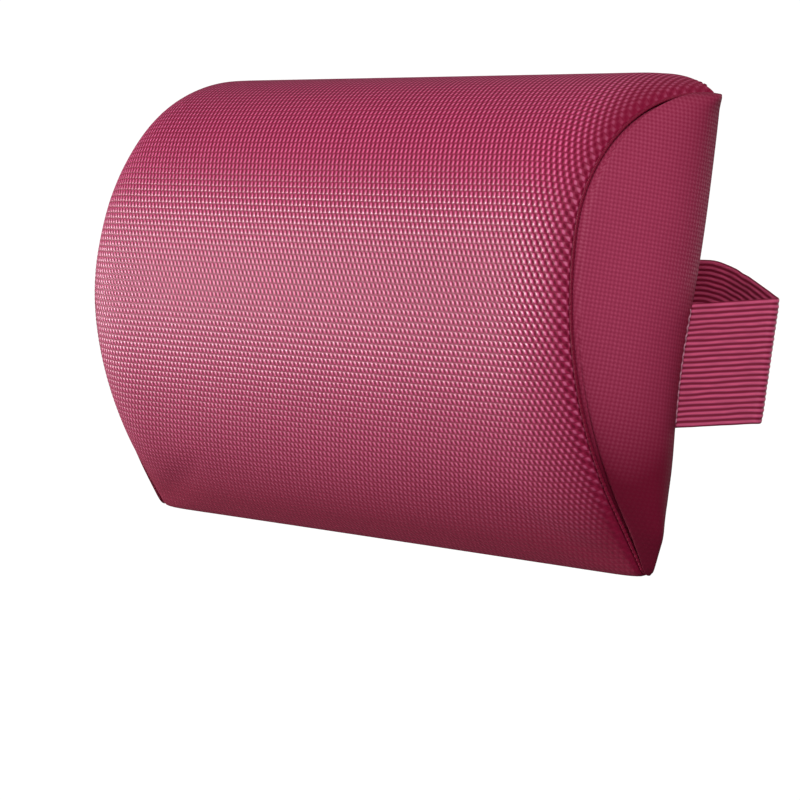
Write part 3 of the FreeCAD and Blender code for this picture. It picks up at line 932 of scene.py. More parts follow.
class Panel:
    """One cut panel of the cover: a sheet that knows its flat pattern and its seams."""

    def __init__(self, name: str) -> None:
        """Start an empty sheet with the notes that it keeps at each vertex.

        Args:
            name: the panel's name.
        """
        self.name = name
        self.bm = bmesh.new()
        vectors = self.bm.verts.layers.float_vector
        floats = self.bm.verts.layers.float
        for note in ("flat", "corner", "leave", "inward", "cut"):
            vectors.new(note)
        for note in ("travel", "reach", "fold", "pinch"):
            floats.new(note)
        self.flat, self.corner, self.leave, self.inward, self.cut = (
            vectors[note] for note in ("flat", "corner", "leave", "inward", "cut")
        )
        self.travel, self.reach, self.fold, self.pinch = (
            floats[note] for note in ("travel", "reach", "fold", "pinch")
        )
        self.piece: bpy.types.Object | None = None

    def layout(
        self,
        flatten: Callable[[bmesh.types.BMVert], Vector],
        shape: Callable[[bmesh.types.BMVert], Vector],
        seams: Callable[[bmesh.types.BMVert], tuple[Vector, Vector]],
        pinch: Callable[[bmesh.types.BMVert], float],
    ) -> None:
        """Note each vertex's place on the flat cloth and at its seam, and shape the sheet.

        Args:
            flatten: gives a vertex's place on the flat cloth, in metres.
            shape: gives a vertex's place on the filled cushion.
            seams: gives a boundary vertex's leaving and inward directions.
            pinch: gives how much shade is painted on the cloth at a vertex, near its seams, at the corners
                and towards the foot, from 0 to 1.
        """
        places = {}
        for vert in self.bm.verts:
            vert[self.flat] = flatten(vert)
            vert[self.pinch] = pinch(vert)
            if vert.is_boundary:
                vert[self.leave], vert[self.inward] = seams(vert)
            places[vert] = shape(vert)
        for vert, place in places.items():
            vert.co = place
            vert[self.corner] = place

    def fill_out(self, swell: float, pressure: float = 4.0, frames: int = 20) -> None:
        """Swell the sheet between its seams with a cloth simulation.

        The seams are pinned. What the pressure gives is scaled so that the largest movement is
        the swell, which keeps the result within the cover's size.

        Args:
            swell: the largest movement, in metres.
            pressure: the cloth's inner pressure.
            frames: how long the cloth settles.
        """
        mesh = bpy.data.meshes.new("cloth_trial")
        bmesh.ops.recalc_face_normals(self.bm, faces=self.bm.faces)
        self.face_outwards()
        self.bm.to_mesh(mesh)
        trial = bpy.data.objects.new("cloth_trial", mesh)
        bpy.context.scene.collection.objects.link(trial)
        seams = trial.vertex_groups.new(name="seams")
        seams.add([v.index for v in self.bm.verts if v.is_boundary], 1.0, "REPLACE")
        cloth = trial.modifiers.new("cloth", "CLOTH")
        settings = cloth.settings
        settings.quality = 5
        settings.mass = 0.25
        settings.tension_stiffness = 30.0
        settings.compression_stiffness = 30.0
        settings.shear_stiffness = 15.0
        settings.bending_stiffness = 2.0
        settings.vertex_group_mass = "seams"
        settings.use_pressure = True
        settings.uniform_pressure_force = pressure
        settings.effector_weights.gravity = 0.0
        cloth.point_cache.frame_start = 1
        cloth.point_cache.frame_end = frames
        scene = bpy.context.scene
        for number in range(1, frames + 1):
            scene.frame_set(number)
        graph = bpy.context.evaluated_depsgraph_get()
        settled = [v.co.copy() for v in trial.evaluated_get(graph).data.vertices]
        self.bm.verts.ensure_lookup_table()
        moves = [after - vert.co for vert, after in zip(self.bm.verts, settled)]
        largest = max(move.length for move in moves)
        scale = swell / largest if largest > 0.0 else 0.0
        log.info("%s: cloth moved %.2f mm, kept %.2f mm", self.name, largest / MM, swell / MM)
        for vert, move in zip(self.bm.verts, moves):
            vert.co += move * scale
        bpy.data.objects.remove(trial)
        bpy.data.meshes.remove(mesh)
        scene.frame_set(1)

    def roll_edges(self, roll: SeamRoll) -> None:
        """Turn the whole boundary in along its seams.

        Args:
            roll: the rolled edge's shape.
        """
        chain = [edge for edge in self.bm.edges if edge.is_boundary]
        verts = {vert for edge in chain for vert in edge.verts}
        flats = {vert: Vector(vert[self.flat]) for vert in verts}
        for vert in verts:
            inner = [e.other_vert(vert) for e in vert.link_edges if not e.is_boundary]
            heart = inner or [face.verts[0] for face in vert.link_faces]
            run = flats[vert] - Vector(heart[0][self.flat])
            vert[self.cut] = run.normalized() if run.length > 0.0 else run
        for vert in verts:
            vert[self.corner] = vert.co
        for step in range(roll.arc_steps + 2):
            if step > 0:
                verts, chain = extrude_chain(self.bm, chain)
            for vert in verts:
                path = roll.path(Vector(vert[self.leave]), Vector(vert[self.inward]))
                offset, depth, cloth = path[step]
                before = path[step - 1][2] if step > 0 else 0.0
                vert.co = Vector(vert[self.corner]) + offset
                vert[self.fold] = depth
                vert[self.flat] = Vector(vert[self.flat]) + Vector(vert[self.cut]) * (
                    cloth - before
                )

    def face_outwards(self) -> None:
        """Turn the sheet's faces away from the middle of the cushion."""
        largest = max(self.bm.faces, key=lambda face: face.calc_area())
        away = largest.calc_center_median() - Vector((0.0, -20.0 * MM, 0.0))
        if largest.normal.dot(away) < 0.0:
            bmesh.ops.reverse_faces(self.bm, faces=self.bm.faces)

    def sew(self, thickness: float) -> bpy.types.Object:
        """Finish the panel as an object with the cloth's thickness.

        Args:
            thickness: the cloth's thickness.

        Returns:
            The panel's object.
        """
        uv = self.bm.loops.layers.uv.new("cloth")
        for face in self.bm.faces:
            for loop in face.loops:
                loop[uv].uv = loop.vert[self.flat].xy
        bmesh.ops.recalc_face_normals(self.bm, faces=self.bm.faces)
        self.face_outwards()
        log.info("%s: %d faces", self.name, len(self.bm.faces))
        self.piece = mesh_object(self.name, self.bm)
        wall = self.piece.modifiers.new("thickness", "SOLIDIFY")
        wall.thickness = thickness
        wall.offset = -1.0
        smooth = self.piece.modifiers.new("smooth", "SUBSURF")
        smooth.levels = 1
        smooth.render_levels = 1
        return self.piece


@dataclass
class Cover:
    """The sewn cover: front, back and two end panels, with the seams between them."""

    form: CushionForm
    cloth: float = 0.7 * MM
    turn_over: float = 16.0 * MM
    roll: SeamRoll = field(default_factory=SeamRoll)
    panels: dict[str, Panel] = field(default_factory=dict)

    def at_end(self, vert: bmesh.types.BMVert) -> bool:
        """Whether an unshaped vertex lies on an end of the cushion."""
        return abs(abs(vert.co.x) - self.form.half_length) < TOUCH

    def front(self) -> Panel:
        """Build the front panel, from the top back seam round to the one at the foot."""
        form, section = self.form, self.form.section
        panel = Panel("front_cover")
        bm, travel = panel.bm, panel.travel
        chain = section.chain(bm, travel, -form.half_length, form.seam_back, form.step)
        count = round(2.0 * form.half_length / form.step)
        for _ in range(count):
            verts, chain = extrude_chain(bm, chain)
            bmesh.ops.translate(bm, verts=verts, vec=X_AXIS * (2.0 * form.half_length / count))
        top = min(vert[travel] for vert in bm.verts) + TOUCH
        foot = section.length - TOUCH

        def seams(vert: bmesh.types.BMVert) -> tuple[Vector, Vector]:
            leave, inward = Vector(), Vector()
            if self.at_end(vert):
                outward = X_AXIS * math.copysign(1.0, vert.co.x)
                leave += outward
                inward -= outward + section.normal(vert[travel])
            if vert[travel] < top:
                leave += Y_AXIS
                inward -= Y_AXIS + Z_AXIS
            if vert[travel] > foot:
                leave += Z_AXIS
                inward -= Y_AXIS
            return leave, inward

        # Painted shade: darker along the end seams, widest and deepest at the top corner and the shoulder,
        # and darker towards the foot.
        def pinch(vert: bmesh.types.BMVert) -> float:
            inset = form.half_length - abs(vert.co.x)
            shoulder = nearness(vert[travel] - 42.0 * MM, 38.0 * MM)
            corner = nearness(vert[travel], 46.0 * MM)
            depth = 0.25 + 0.65 * max(shoulder, corner) + 0.55 * form.near_foot(vert[travel])
            width = (9.0 + 15.0 * corner) * MM
            foot = nearness(section.length - vert[travel], 50.0 * MM)
            return min(depth * nearness(inset, width) + 1.15 * foot, 1.0)

        panel.layout(
            lambda vert: Vector((vert.co.x, vert[travel], 0.0)),
            lambda vert: form.filled(vert.co, vert[travel]),
            seams,
            pinch,
        )
        panel.fill_out(1.2 * MM)
        return panel

    def back(self) -> Panel:
        """Build the back panel, flat where it lies on the chair and drawn in at its seams."""
        form = self.form
        top = form.seam_height(form.half_length, True)
        low = form.seam_height(form.half_length, False)
        panel = Panel("back_cover")
        bmesh.ops.create_grid(
            panel.bm,
            x_segments=round(2.0 * form.half_length / form.step),
            y_segments=round((top - low) / form.step),
            size=0.5,
        )
        place = Matrix.Translation((0.0, -form.seam_back, (top + low) / 2.0))
        stand = Matrix.Rotation(math.pi / 2.0, 4, "X")
        scale = Matrix.Diagonal((2.0 * form.half_length, top - low, 1.0, 1.0))
        bmesh.ops.transform(panel.bm, matrix=place @ stand @ scale, verts=panel.bm.verts)

        def shape(vert: bmesh.types.BMVert) -> Vector:
            share = (vert.co.z - low) / (top - low)
            x = vert.co.x
            upper, lower = form.seam_height(x, True), form.seam_height(x, False)
            z = lower + (upper - lower) * share
            edge = min(form.half_length - abs(x), upper - z, z - lower)
            lift = (form.seam_back + 0.8 * MM) * ease(edge / (10.0 * MM))
            spread = form.side_spread(z) * (abs(x) / form.half_length) ** 12
            return Vector((x + math.copysign(spread, x), vert.co.y + lift, z))

        def seams(vert: bmesh.types.BMVert) -> tuple[Vector, Vector]:
            leave, inward = Vector(), Vector()
            if self.at_end(vert):
                outward = X_AXIS * math.copysign(1.0, vert.co.x)
                leave += outward
                inward -= outward + Y_AXIS
            if abs(vert.co.z - top) < TOUCH:
                leave += Z_AXIS
                inward -= Y_AXIS + Z_AXIS
            if abs(vert.co.z - low) < TOUCH:
                leave -= Z_AXIS
                inward -= Y_AXIS
            return leave, inward

        panel.layout(
            lambda vert: Vector((vert.co.x, vert.co.z, 0.0)), shape, seams, lambda vert: 0.0
        )
        panel.fill_out(0.5 * MM)
        return panel

    def end(self, side: Side) -> Panel:
        """Build an end panel.

        Args:
            side: which end.

        Returns:
            The panel, rounded out between its curved seam and the back.
        """
        form, section = self.form, self.form.section
        outward = X_AXIS * side.value
        panel = Panel(f"{side.label}_end_cover")
        bm, travel, reach = panel.bm, panel.travel, panel.reach
        chain = section.chain(bm, travel, outward.x * form.half_length, form.seam_back, form.step)
        for vert in bm.verts:
            vert[reach] = -form.seam_back - vert.co.y
        columns = round(section.depth / form.step)
        for column in range(columns):
            verts, chain = extrude_chain(bm, chain)
            share = 1.0 / (columns - column)
            for vert in verts:
                goal = Vector((vert.co.x, -form.seam_back, max(vert.co.z, section.seam_low)))
                vert.co = vert.co.lerp(goal, share)
        bmesh.ops.remove_doubles(bm, verts=bm.verts, dist=MM / 20.0)
        curve = {
            vert for edge in bm.edges if edge.is_boundary for vert in edge.verts
            if vert.co.y < -form.seam_back - TOUCH
        }

        def seams(vert: bmesh.types.BMVert) -> tuple[Vector, Vector]:
            leave, inward = Vector(), Vector()
            tip = min(vert.co.z - section.seam_low, section.top - vert.co.z) < MM
            if vert in curve or tip:
                normal = section.normal(vert[travel])
                leave += normal
                inward -= normal + outward
            if vert not in curve:
                leave += Y_AXIS * 0.55 - outward * 0.4
                inward -= Y_AXIS + outward
            return leave, inward

        def shape(vert: bmesh.types.BMVert) -> Vector:
            width = max(vert[reach], MM)
            from_back = max(-form.seam_back - vert.co.y, 0.0)
            turn = 1.0 - (1.0 - min(from_back / min(self.turn_over, width / 2.0), 1.0)) ** 2
            fade = math.sin(math.pi / 2.0 * min((width - from_back) / (0.8 * width), 1.0))
            heavy = 1.0 + 0.5 * ease((section.apex - vert.co.z) / (110.0 * MM))
            bulge = form.end_swell * heavy * turn * fade * min(1.0, width / (18.0 * MM))
            spread = form.side_spread(vert.co.z) * nearness(from_back, self.turn_over)
            place = vert.co + outward * (bulge + spread * min(1.0, width / (30.0 * MM)))
            place.x += form.drawn_in(vert.co.x, vert[travel]) * ease(from_back / width)
            return place

        # Painted shade: darker along the curved seam, towards the foot, along the back edge and towards the
        # top.
        def pinch(vert: bmesh.types.BMVert) -> float:
            edge = min(vert[reach] + form.seam_back + vert.co.y, 20.0 * MM)
            foot = nearness(vert.co.z - section.low, 62.0 * MM)
            tip = nearness(section.top - vert.co.z, 40.0 * MM)
            rear = nearness(form.seam_back + vert.co.y, 20.0 * MM)
            seam = nearness(edge, 6.0 * MM)
            return min(0.20 * seam + 1.30 * foot + 0.48 * rear + 0.26 * tip, 1.0)

        bias = Matrix.Rotation(math.pi / 4.0, 3, "Z")
        panel.layout(
            lambda vert: bias @ Vector((vert.co.y, vert.co.z, 0.0)), shape, seams, pinch
        )
        panel.fill_out(1.0 * MM)
        return panel

    def build(self, finishes: Finishes) -> None:
        """Build, sew and dress the four panels.

        Args:
            finishes: the materials.
        """
        plan = [
            (self.front(), finishes.cover, "front_panel"),
            (self.back(), finishes.cover, "back_panel"),
            (self.end(Side.RIGHT), finishes.end_cover, "right_end_panel"),
            (self.end(Side.LEFT), finishes.end_cover, "left_end_panel"),
        ]
        for panel, material, node in plan:
            panel.roll_edges(self.roll)
            piece = panel.sew(self.cloth)
            finish_piece(piece, material, node)
            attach(piece, "cushion")
            self.panels[node] = panel


@dataclass
class FoamBlock:
    """The foam core: a D-section block a little smaller than the cover."""

    form: CushionForm
    inset: float = 6.0 * MM
    step: float = 8.0 * MM

    def build(self, finishes: Finishes) -> bpy.types.Object:
        """Build and dress the block.

        Args:
            finishes: the materials.

        Returns:
            The block.
        """
        outer = self.form.section
        section = Section(
            depth=outer.depth - self.inset,
            apex=outer.apex,
            low=outer.low + 2.0 * self.inset,
        )
        half = self.form.half_length - 2.0 * self.inset
        bm = bmesh.new()
        travel = bm.verts.layers.float.new("travel")
        chain = section.chain(bm, travel, -half, self.inset, self.step)
        ends = [vert for vert in bm.verts if len(vert.link_edges) == 1]
        chain.append(bm.edges.new(ends))
        face = bmesh.ops.contextual_create(bm, geom=chain)["faces"]
        block = bmesh.ops.extrude_face_region(bm, geom=face)["geom"]
        for vert in bm.verts:
            along = vert[travel] * outer.length / section.length
            vert.co.x += self.form.drawn_in(-self.form.half_length, along)
        for part in block:
            if isinstance(part, bmesh.types.BMVert):
                part.co.x = half
        bmesh.ops.recalc_face_normals(bm, faces=bm.faces)
        sharp = [edge for edge in bm.edges if edge.calc_face_angle(0.0) > math.radians(35.0)]
        bmesh.ops.bevel(
            bm,
            geom=sharp,
            offset=2.0 * MM,
            segments=3,
            profile=0.5,
            affect="EDGES",
            material=-1,
            clamp_overlap=True,
        )
        piece = mesh_object("foam_block", bm)
        finish_piece(piece, finishes.foam, "foam_core")
        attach(piece, "cushion")
        return piece


# ---------------------------------------------------------------------------------- stitching


@dataclass
class Stitching:
    """Rows of lockstitches, one small rounded bar for each stitch."""

    pitch: float = 3.1 * MM
    radius: float = 0.32 * MM
    cover: float = 0.88

    def bar(self, bm: bmesh.types.BMesh, start: Vector, end: Vector) -> None:
        """Add one stitch between two points.

        Args:
            bm: the mesh to add to.
            start: one end of the stitch.
            end: the other end.
        """
        middle, run = (start + end) / 2.0, end - start
        turn = run.to_track_quat("Z", "Y").to_matrix().to_4x4()
        scale = Matrix.Diagonal((self.radius, self.radius, run.length / 2.0, 1.0))
        stitch = bmesh.new()
        place = Matrix.Translation(middle) @ turn @ scale
        bmesh.ops.create_uvsphere(stitch, u_segments=8, v_segments=6, radius=1.0, matrix=place)
        mesh = bpy.data.meshes.new("stitch")
        stitch.to_mesh(mesh)
        stitch.free()
        bm.from_mesh(mesh)
        bpy.data.meshes.remove(mesh)

    def row(self, name: str, points: Sequence[Vector]) -> bpy.types.Object:
        """Sew a row of stitches along a line.

        Args:
            name: the piece's name.
            points: the seam's line, closely spaced.

        Returns:
            The row.
        """
        bm = bmesh.new()
        lengths = running_lengths(points)
        count = max(1, int(lengths[-1] / self.pitch))
        pitch = lengths[-1] / count

        def at(distance: float) -> Vector:
            number = next(
                (i for i, total in enumerate(lengths[1:]) if total >= distance), len(points) - 2
            )
            run = max(lengths[number + 1] - lengths[number], 1e-9)
            share = min(max((distance - lengths[number]) / run, 0.0), 1.0)
            return points[number].lerp(points[number + 1], share)

        for number in range(count):
            middle = (number + 0.5) * pitch
            reach = self.cover * pitch / 2.0
            self.bar(bm, at(middle - reach), at(middle + reach))
        return mesh_object(name, bm)


@dataclass
class Seams:
    """The threads that close the cover and hold the strap's ends."""

    cover: Cover
    stitching: Stitching = field(default_factory=Stitching)
    overlock: Stitching = field(default_factory=lambda: Stitching(2.0 * MM, 0.72 * MM, 1.7))
    depth: float = 0.9 * MM
    aside: float = 0.4 * MM
    short: float = 9.0 * MM
    zigzag: Stitching = field(default_factory=lambda: Stitching(radius=0.42 * MM))
    zigzag_rows: tuple[float, float] = (0.2 * MM, 1.9 * MM)
    zigzag_pitch: float = 1.9 * MM
    thread_lift: float = 0.12 * MM

    def sunk(self, corner: Vector, inward: Vector) -> Vector:
        """A point in the seam's groove, below its corner line."""
        return corner + inward.normalized() * self.depth

    def end_line(self, side: Side) -> list[Vector]:
        """The curved seam round an end."""
        form, section = self.cover.form, self.cover.form.section
        bm = bmesh.new()
        travel = bm.verts.layers.float.new("travel")
        section.chain(bm, travel, side.value * form.half_length, form.seam_back, 3.0 * MM)
        outward = X_AXIS * side.value
        points = []
        for vert in sorted(bm.verts, key=lambda v: v[travel]):
            normal = section.normal(vert[travel])
            sunk = self.sunk(form.filled(vert.co, vert[travel]), -(outward + normal))
            points.append(sunk - normal * self.aside)
        bm.free()
        return points[1:-1]

    def edge_line(self, top: bool) -> list[Vector]:
        """The seam along the top or the foot of the back panel."""
        form = self.cover.form
        inward = -(Y_AXIS + Z_AXIS) if top else -Y_AXIS
        count = 60
        points = []
        for number in range(count + 1):
            x = (number / count - 0.5) * 2.0 * (form.half_length - self.short)
            back = -form.seam_back if top else 0.0
            points.append(self.sunk(Vector((x, back, form.seam_height(x, top))), inward))
        return points

    def side_line(self, side: Side) -> list[Vector]:
        """The straight seam down a side of the back panel."""
        form = self.cover.form
        low = form.seam_height(form.half_length, False) + 4.0 * MM
        high = form.seam_height(form.half_length, True) - 2.0 * MM
        inward = -(Y_AXIS + X_AXIS * side.value)
        count = 40
        points = []
        for number in range(count + 1):
            z = low + (high - low) * number / count
            x = side.value * (form.half_length + form.side_spread(z))
            points.append(self.sunk(Vector((x, -form.seam_back, z)), inward))
        return points

    def build(self, finishes: Finishes) -> None:
        """Sew every row.

        Args:
            finishes: the materials.
        """
        rows = [
            ("top_seam_stitches", self.edge_line(True), "top_seam_thread"),
            ("lower_seam_stitches", self.edge_line(False), "lower_seam_thread"),
        ]
        for side in Side:
            for part, line in (("end", self.end_line(side)), ("side", self.side_line(side))):
                seam = f"{side.label}_{part}"
                rows.append((f"{seam}_stitches", line, f"{seam}_seam_thread"))
        for name, points, node in rows:
            sewing = self.overlock if name.endswith("end_stitches") else self.stitching
            piece = sewing.row(name, points)
            finish_piece(piece, finishes.seam, node)
            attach(piece, "cushion")
        for side in Side:
            self.tack(side, finishes)

    def tack(self, side: Side, finishes: Finishes) -> None:
        """Sew the zigzag that holds a strap end, on the end panel beside the side seam.

        Args:
            side: which end.
            finishes: the materials.
        """
        node = f"{side.label}_strap_tack"
        panel = self.cover.panels[f"{side.label}_end_panel"].piece
        graph = bpy.context.evaluated_depsgraph_get()
        surface = BVHTree.FromObject(panel, graph)
        low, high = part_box(node)
        well_outside = 0.4
        rows = [low.y + row for row in self.zigzag_rows]
        count = round((high.z - low.z) / self.zigzag_pitch)
        points = []
        for number in range(count + 1):
            z = low.z + (high.z - low.z) * number / count
            origin = Vector((side.value * well_outside, rows[number % 2], z))
            hit = surface.ray_cast(origin, X_AXIS * -side.value)[0]
            if hit is not None:
                points.append(hit + X_AXIS * (self.thread_lift * side.value))
        bm = bmesh.new()
        for start, end in zip(points, points[1:]):
            self.zigzag.bar(bm, start, end)
        piece = mesh_object(f"{side.label}_tack_stitches", bm)
        finish_piece(piece, finishes.tack, node)
        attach(piece, "cushion")


# -------------------------------------------------------------------------------------- strap


@dataclass
class Strap:
    """The elastic band, from one side seam round behind the cushion to the other."""

    width: float
    thickness: float
    root: Vector
    fold: Vector
    bend: Vector
    ribs: int = 23
    rib_height: float = 0.42 * MM
    points_per_rib: int = 4
    fold_radius: float = 2.6 * MM
    bend_radius: float = 70.0 * MM
    hidden: float = 3.0 * MM
    sag: float = 1.5 * MM

    @classmethod
    def from_frame(cls) -> "Strap":
        """Take the band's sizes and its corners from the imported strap's pieces."""
        near_low, near_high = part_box("strap_right_near_run")
        fold_low, fold_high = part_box("strap_right_fold")
        back_low, back_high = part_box("strap_back_run")
        width = fold_high.z - fold_low.z
        thickness = back_high.y - back_low.y
        root = Vector((near_low.x, near_low.y + thickness * 0.585, near_low.z + width / 2.0))
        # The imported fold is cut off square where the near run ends, so that run's end gives the
        # near leg's line, and the far run's two ends give the far leg's line.
        far_low, far_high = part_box("strap_right_far_run")
        # A run leans, so the band takes up a little more of its box than its own thickness.
        near_share, far_share = 1.17, 1.06
        near_rise = near_high.y - near_low.y - near_share * thickness
        far_rise = far_high.y - far_low.y - far_share * thickness
        near_slope = near_rise / (near_high.x - near_low.x)
        far_slope = far_rise / (far_high.x - far_low.x)
        bend_y = (back_low.y + back_high.y) / 2.0
        reach = (bend_y - root.y + far_slope * (far_low.x - root.x)) / (near_slope + far_slope)
        fold_z = (fold_low.z + fold_high.z) / 2.0
        fold = Vector((root.x + reach, root.y + near_slope * reach, fold_z))
        bend = Vector((far_low.x, bend_y, (back_low.z + back_high.z) / 2.0))
        return cls(width=width, thickness=thickness, root=root, fold=fold, bend=bend)

    def corner(
        self, before: Vector, point: Vector, after: Vector, radius: float, steps: int
    ) -> list[Vector]:
        """Round a corner of the band's line with a tangent arc.

        Args:
            before: the point before the corner.
            point: the corner.
            after: the point after it.
            radius: the arc's radius.
            steps: how many stations the arc gets.

        Returns:
            The arc's points.
        """
        toward_before = (before - point).normalized()
        toward_after = (after - point).normalized()
        half = toward_before.angle(toward_after) / 2.0
        bisector = (toward_before + toward_after).normalized()
        centre = point + bisector * (radius / math.sin(half))
        start = point + toward_before * (radius / math.tan(half)) - centre
        end = point + toward_after * (radius / math.tan(half)) - centre
        reach = start.length
        return [centre + start.slerp(end, step / steps) * reach for step in range(steps + 1)]

    def line(self) -> list[Vector]:
        """The band's centre line at its right half, from the seam to the middle of the back."""
        flat_root, flat_fold, flat_bend = (
            Vector((p.x, p.y, 0.0)) for p in (self.root, self.fold, self.bend)
        )
        middle = Vector((0.0, flat_bend.y, 0.0))
        inside = flat_root - (flat_fold - flat_root).normalized() * self.hidden
        fold = self.corner(flat_root, flat_fold, flat_bend, self.fold_radius, 10)
        bend = self.corner(flat_fold, flat_bend, middle, self.bend_radius, 8)
        points = [inside]
        for target in (fold, bend, [middle]):
            start = points[-1]
            run = (target[0] - start).length
            count = max(1, round(run / (3.0 * MM)))
            points += [start.lerp(target[0], step / count) for step in range(1, count)]
            points += target
        return points

    def stations(self) -> list[Matrix]:
        """Where the band's section stands along the whole strap, each with its axes."""
        right = self.line()
        turned = [Vector((-p.x, p.y, 0.0)) for p in reversed(right[:-1])]
        points = right + turned
        lengths = running_lengths(points)
        total = lengths[-1]
        self.lengths = lengths
        near = (self.fold - self.root).length
        far = near + (self.bend - self.fold).length
        stations = []
        for number, point in enumerate(points):
            before = points[max(number - 1, 0)]
            after = points[min(number + 1, len(points) - 1)]
            tangent = (after - before).normalized()
            outward = Vector((tangent.y, -tangent.x, 0.0))
            run = min(lengths[number], total - lengths[number]) - self.hidden
            if run < near:
                height = self.root.z + (self.fold.z - self.root.z) * max(run, 0.0) / near
            else:
                share = 1.0 - (1.0 - min((run - near) / (far - near), 1.0)) ** 1.25
                height = self.fold.z + (self.bend.z - self.fold.z) * share
                height -= self.sag * ease((run - far) / (0.2 * total))
            axes = Matrix.Identity(3)
            axes.col[0] = tangent
            axes.col[1] = outward
            axes.col[2] = Z_AXIS
            stations.append(Matrix.Translation((point.x, point.y, height)) @ axes.to_4x4())
        return stations

    def section_loop(self, bm: bmesh.types.BMesh) -> list[bmesh.types.BMEdge]:
        """Draw the ribbed section, across the band, as a closed loop in its own YZ plane."""
        count = self.ribs * self.points_per_rib
        half = self.width / 2.0
        start = bmesh.ops.create_vert(bm, co=(0.0, 0.0, -half))["vert"][0]
        last = start
        places = [(step + 0.5) / count for step in range(count)]
        outline = [(1.0, share) for share in places] + [(-1.0, share) for share in reversed(places)]
        tip = (0.0, 1.0)
        outline.insert(count, tip)
        for face, share in outline:
            vert = bmesh.ops.extrude_vert_indiv(bm, verts=[last])["verts"][0]
            crest = abs(math.sin(math.pi * share * self.ribs))
            thick = self.thickness / 2.0 - self.rib_height * (1.0 - crest)
            edge = min(1.0, 6.0 * min(share, 1.0 - share) + 0.55)
            vert.co = Vector((0.0, face * thick * edge, half * (2.0 * share - 1.0)))
            last = vert
        bm.edges.new((last, start))
        return list(bm.edges)

    def build(self, finishes: Finishes) -> bpy.types.Object:
        """Sweep the section along the strap, dress it and let it stretch with the loop.

        Args:
            finishes: the materials.

        Returns:
            The strap.
        """
        bm = bmesh.new()
        loop = self.section_loop(bm)
        rib = bm.verts.layers.float.new("rib")
        place = bm.verts.layers.float_vector.new("place")
        for vert in bm.verts:
            share = vert.co.z / self.width + 0.5
            vert[rib] = abs(math.sin(math.pi * share * self.ribs))
            vert[place] = vert.co
        stations = self.stations()
        first_cap = list(loop)
        ring = list(bm.verts)
        for number, station in enumerate(stations):
            if number > 0:
                ring, loop = extrude_chain(bm, loop)
            travelled = self.lengths[number]
            for vert in ring:
                local = Vector(vert[place])
                local.x = 0.0
                wander = noise.noise(Vector((travelled / (9.0 * MM), local.z / (5.0 * MM), 3.0)))
                swell = noise.noise(Vector((travelled / (4.0 * MM), local.z / (2.2 * MM), 9.0)))
                local.z += wander * 0.28 * MM
                local.y *= 1.0 + 0.16 * swell
                vert.co = station @ local
                vert[place] = (travelled, vert[place][1], vert[place][2])
        for cap in (first_cap, loop):
            bmesh.ops.contextual_create(bm, geom=cap)
        uv = bm.loops.layers.uv.new("cloth")
        for face in bm.faces:
            for corner in face.loops:
                spot = corner.vert[place]
                corner[uv].uv = (spot[0], spot[2])
        bmesh.ops.recalc_face_normals(bm, faces=bm.faces)
        piece = mesh_object("elastic_strap", bm)
        piece.data.materials.append(finishes.strap)
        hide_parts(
            "strap_back_run",
            *(
                f"strap_{side.label}_{part}"
                for side in Side
                for part in ("near_run", "fold", "far_run")
            ),
        )
        near_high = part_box("strap_right_near_run")[1]
        start = Vector((0.0, self.root.y, 0.0))
        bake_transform(piece, "cushion", "strap", start=start, end=Vector((0.0, near_high.y, 0.0)))
        log.info("elastic_strap is %.0f mm long", self.lengths[-1] / MM)
        return piece


# --------------------------------------------------------------------------------------- stage


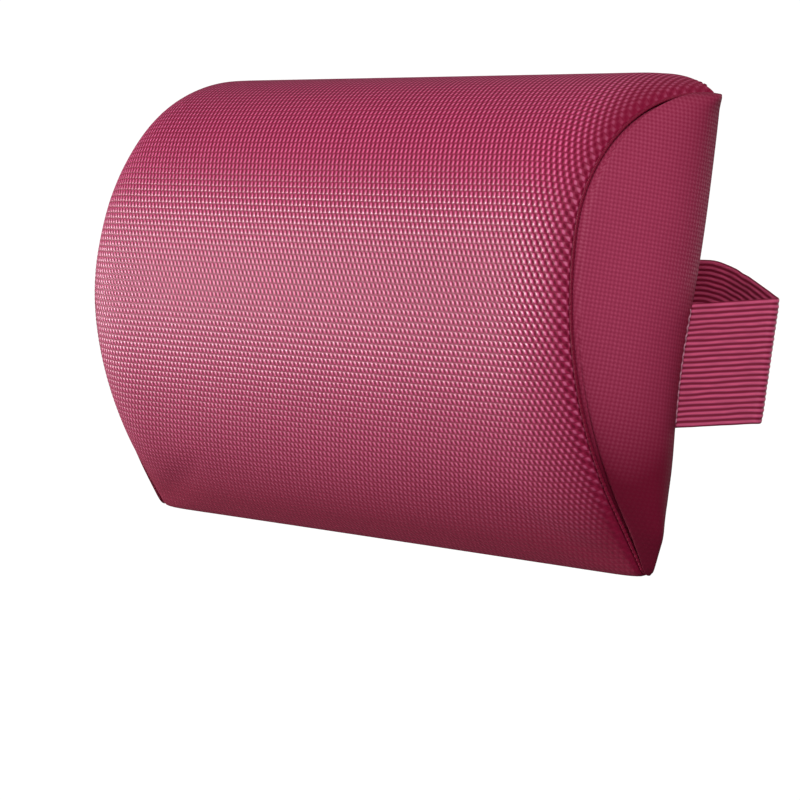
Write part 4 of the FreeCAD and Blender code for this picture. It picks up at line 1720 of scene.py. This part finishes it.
@dataclass
class Stage:
    """The pale floor, the soft lights and the camera."""

    floor_drop: float = 0.55
    floor_reach: float = 9.0
    camera_azimuth: float = math.radians(54.57)
    camera_elevation: float = math.radians(-1.99)
    camera_roll: float = math.radians(8.42)
    camera_distance: float = 1.700
    camera_aside: float = 9.7 * MM
    camera_above: float = 35.9 * MM
    lens: float = 172.0
    sensor: float = 36.0

    def floor(self, finishes: Finishes) -> None:
        """Lay the paper.

        Args:
            finishes: the materials.
        """
        bm = bmesh.new()
        bmesh.ops.create_circle(bm, cap_ends=True, radius=self.floor_reach, segments=96)
        bmesh.ops.translate(bm, verts=bm.verts, vec=-Z_AXIS * self.floor_drop)
        paper = mesh_object("studio_floor", bm)
        paper.data.materials.append(finishes.paper)
        paper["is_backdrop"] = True

    def soft_box(
        self, name: str, place: Vector, aim: Vector, size: tuple[float, float], power: float
    ) -> None:
        """Hang one rectangular light.

        Args:
            name: the light's name.
            place: where it hangs.
            aim: what it points at.
            size: its width and height.
            power: its power in watts.
        """
        light = bpy.data.lights.new(name, "AREA")
        light.shape = "RECTANGLE"
        light.size, light.size_y = size
        light.energy = power
        lamp = bpy.data.objects.new(name, light)
        lamp.location = place
        lamp.rotation_euler = (aim - place).to_track_quat("-Z", "Y").to_euler()
        bpy.context.scene.collection.objects.link(lamp)

    def lights(self) -> None:
        """Hang the lights and set the room's own glow."""
        aim = Vector((0.0, -20.0 * MM, 10.0 * MM))
        self.soft_box("key", Vector((-1.90, -1.36, -0.30)), aim, (1.35, 0.62), 65.0)
        self.soft_box("side", Vector((1.35, -0.95, 0.60)), aim, (0.7, 0.7), 18.0)
        self.soft_box("front", Vector((0.3, -1.6, 0.8)), aim, (0.9, 0.9), 1.0)
        self.soft_box("top", Vector((0.0, 0.0, 1.7)), aim, (1.2, 1.0), 6.5)
        self.soft_box("rear", Vector((0.1, 1.9, 0.7)), aim, (1.4, 1.0), 14.0)
        world = bpy.data.worlds.new("studio")
        bpy.context.scene.world = world
        world.use_nodes = True
        graph = Graph(world.node_tree)
        seen = world.node_tree.nodes["Background"]
        seen.inputs["Color"].default_value = (1.0, 1.0, 1.0, 1.0)
        seen.inputs["Strength"].default_value = 1.05
        glow = graph.add("Background")
        glow.inputs["Color"].default_value = (1.0, 1.0, 1.0, 1.0)
        glow.inputs["Strength"].default_value = 0.10
        path = graph.add("LightPath")
        blend = graph.add("MixShader")
        graph.feed(blend.inputs[0], path.outputs["Is Camera Ray"])
        graph.feed(blend.inputs[1], glow.outputs[0])
        graph.feed(blend.inputs[2], seen.outputs[0])
        graph.feed(world.node_tree.nodes["World Output"].inputs["Surface"], blend.outputs[0])
        bpy.context.scene.view_settings.view_transform = "Standard"

    def camera(self) -> None:
        """Place the camera: level with the cushion, before its right end, and a little turned."""
        azimuth, elevation = self.camera_azimuth, self.camera_elevation
        back = Vector(
            (
                math.sin(azimuth) * math.cos(elevation),
                -math.cos(azimuth) * math.cos(elevation),
                math.sin(elevation),
            )
        )
        level = (-back).cross(Z_AXIS).normalized()
        upright = level.cross(-back)
        cosine, sine = math.cos(self.camera_roll), math.sin(self.camera_roll)
        right = level * cosine + upright * sine
        up = upright * cosine - level * sine
        place = back * self.camera_distance - right * self.camera_aside - up * self.camera_above
        data = bpy.data.cameras.new("camera")
        data.sensor_width = self.sensor
        data.lens = self.lens
        data.clip_start, data.clip_end = 0.05, 60.0
        camera = bpy.data.objects.new("camera", data)
        axes = Matrix((right, up, back)).transposed()
        camera.matrix_world = Matrix.Translation(place) @ axes.to_4x4()
        bpy.context.scene.collection.objects.link(camera)
        bpy.context.scene.camera = camera

    def build(self, finishes: Finishes) -> None:
        """Set the whole stage.

        Args:
            finishes: the materials.
        """
        self.camera()
        self.lights()
        self.floor(finishes)


def main() -> None:
    """Build the headrest and its stage, and measure both boxes."""
    logging.basicConfig(level=logging.INFO, format="%(name)s: %(message)s")
    finishes = Finishes()
    Stage().build(finishes)
    form = CushionForm.from_frame()
    FoamBlock(form).build(finishes)
    cover = Cover(form)
    cover.build(finishes)
    Seams(cover).build(finishes)
    Strap.from_frame().build(finishes)
    boxes = {"cad": CAD_BOX, "visual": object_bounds()}
    {name: [list(corner) for corner in box] for name, box in boxes.items()}


if __name__ == "__main__":
    main()
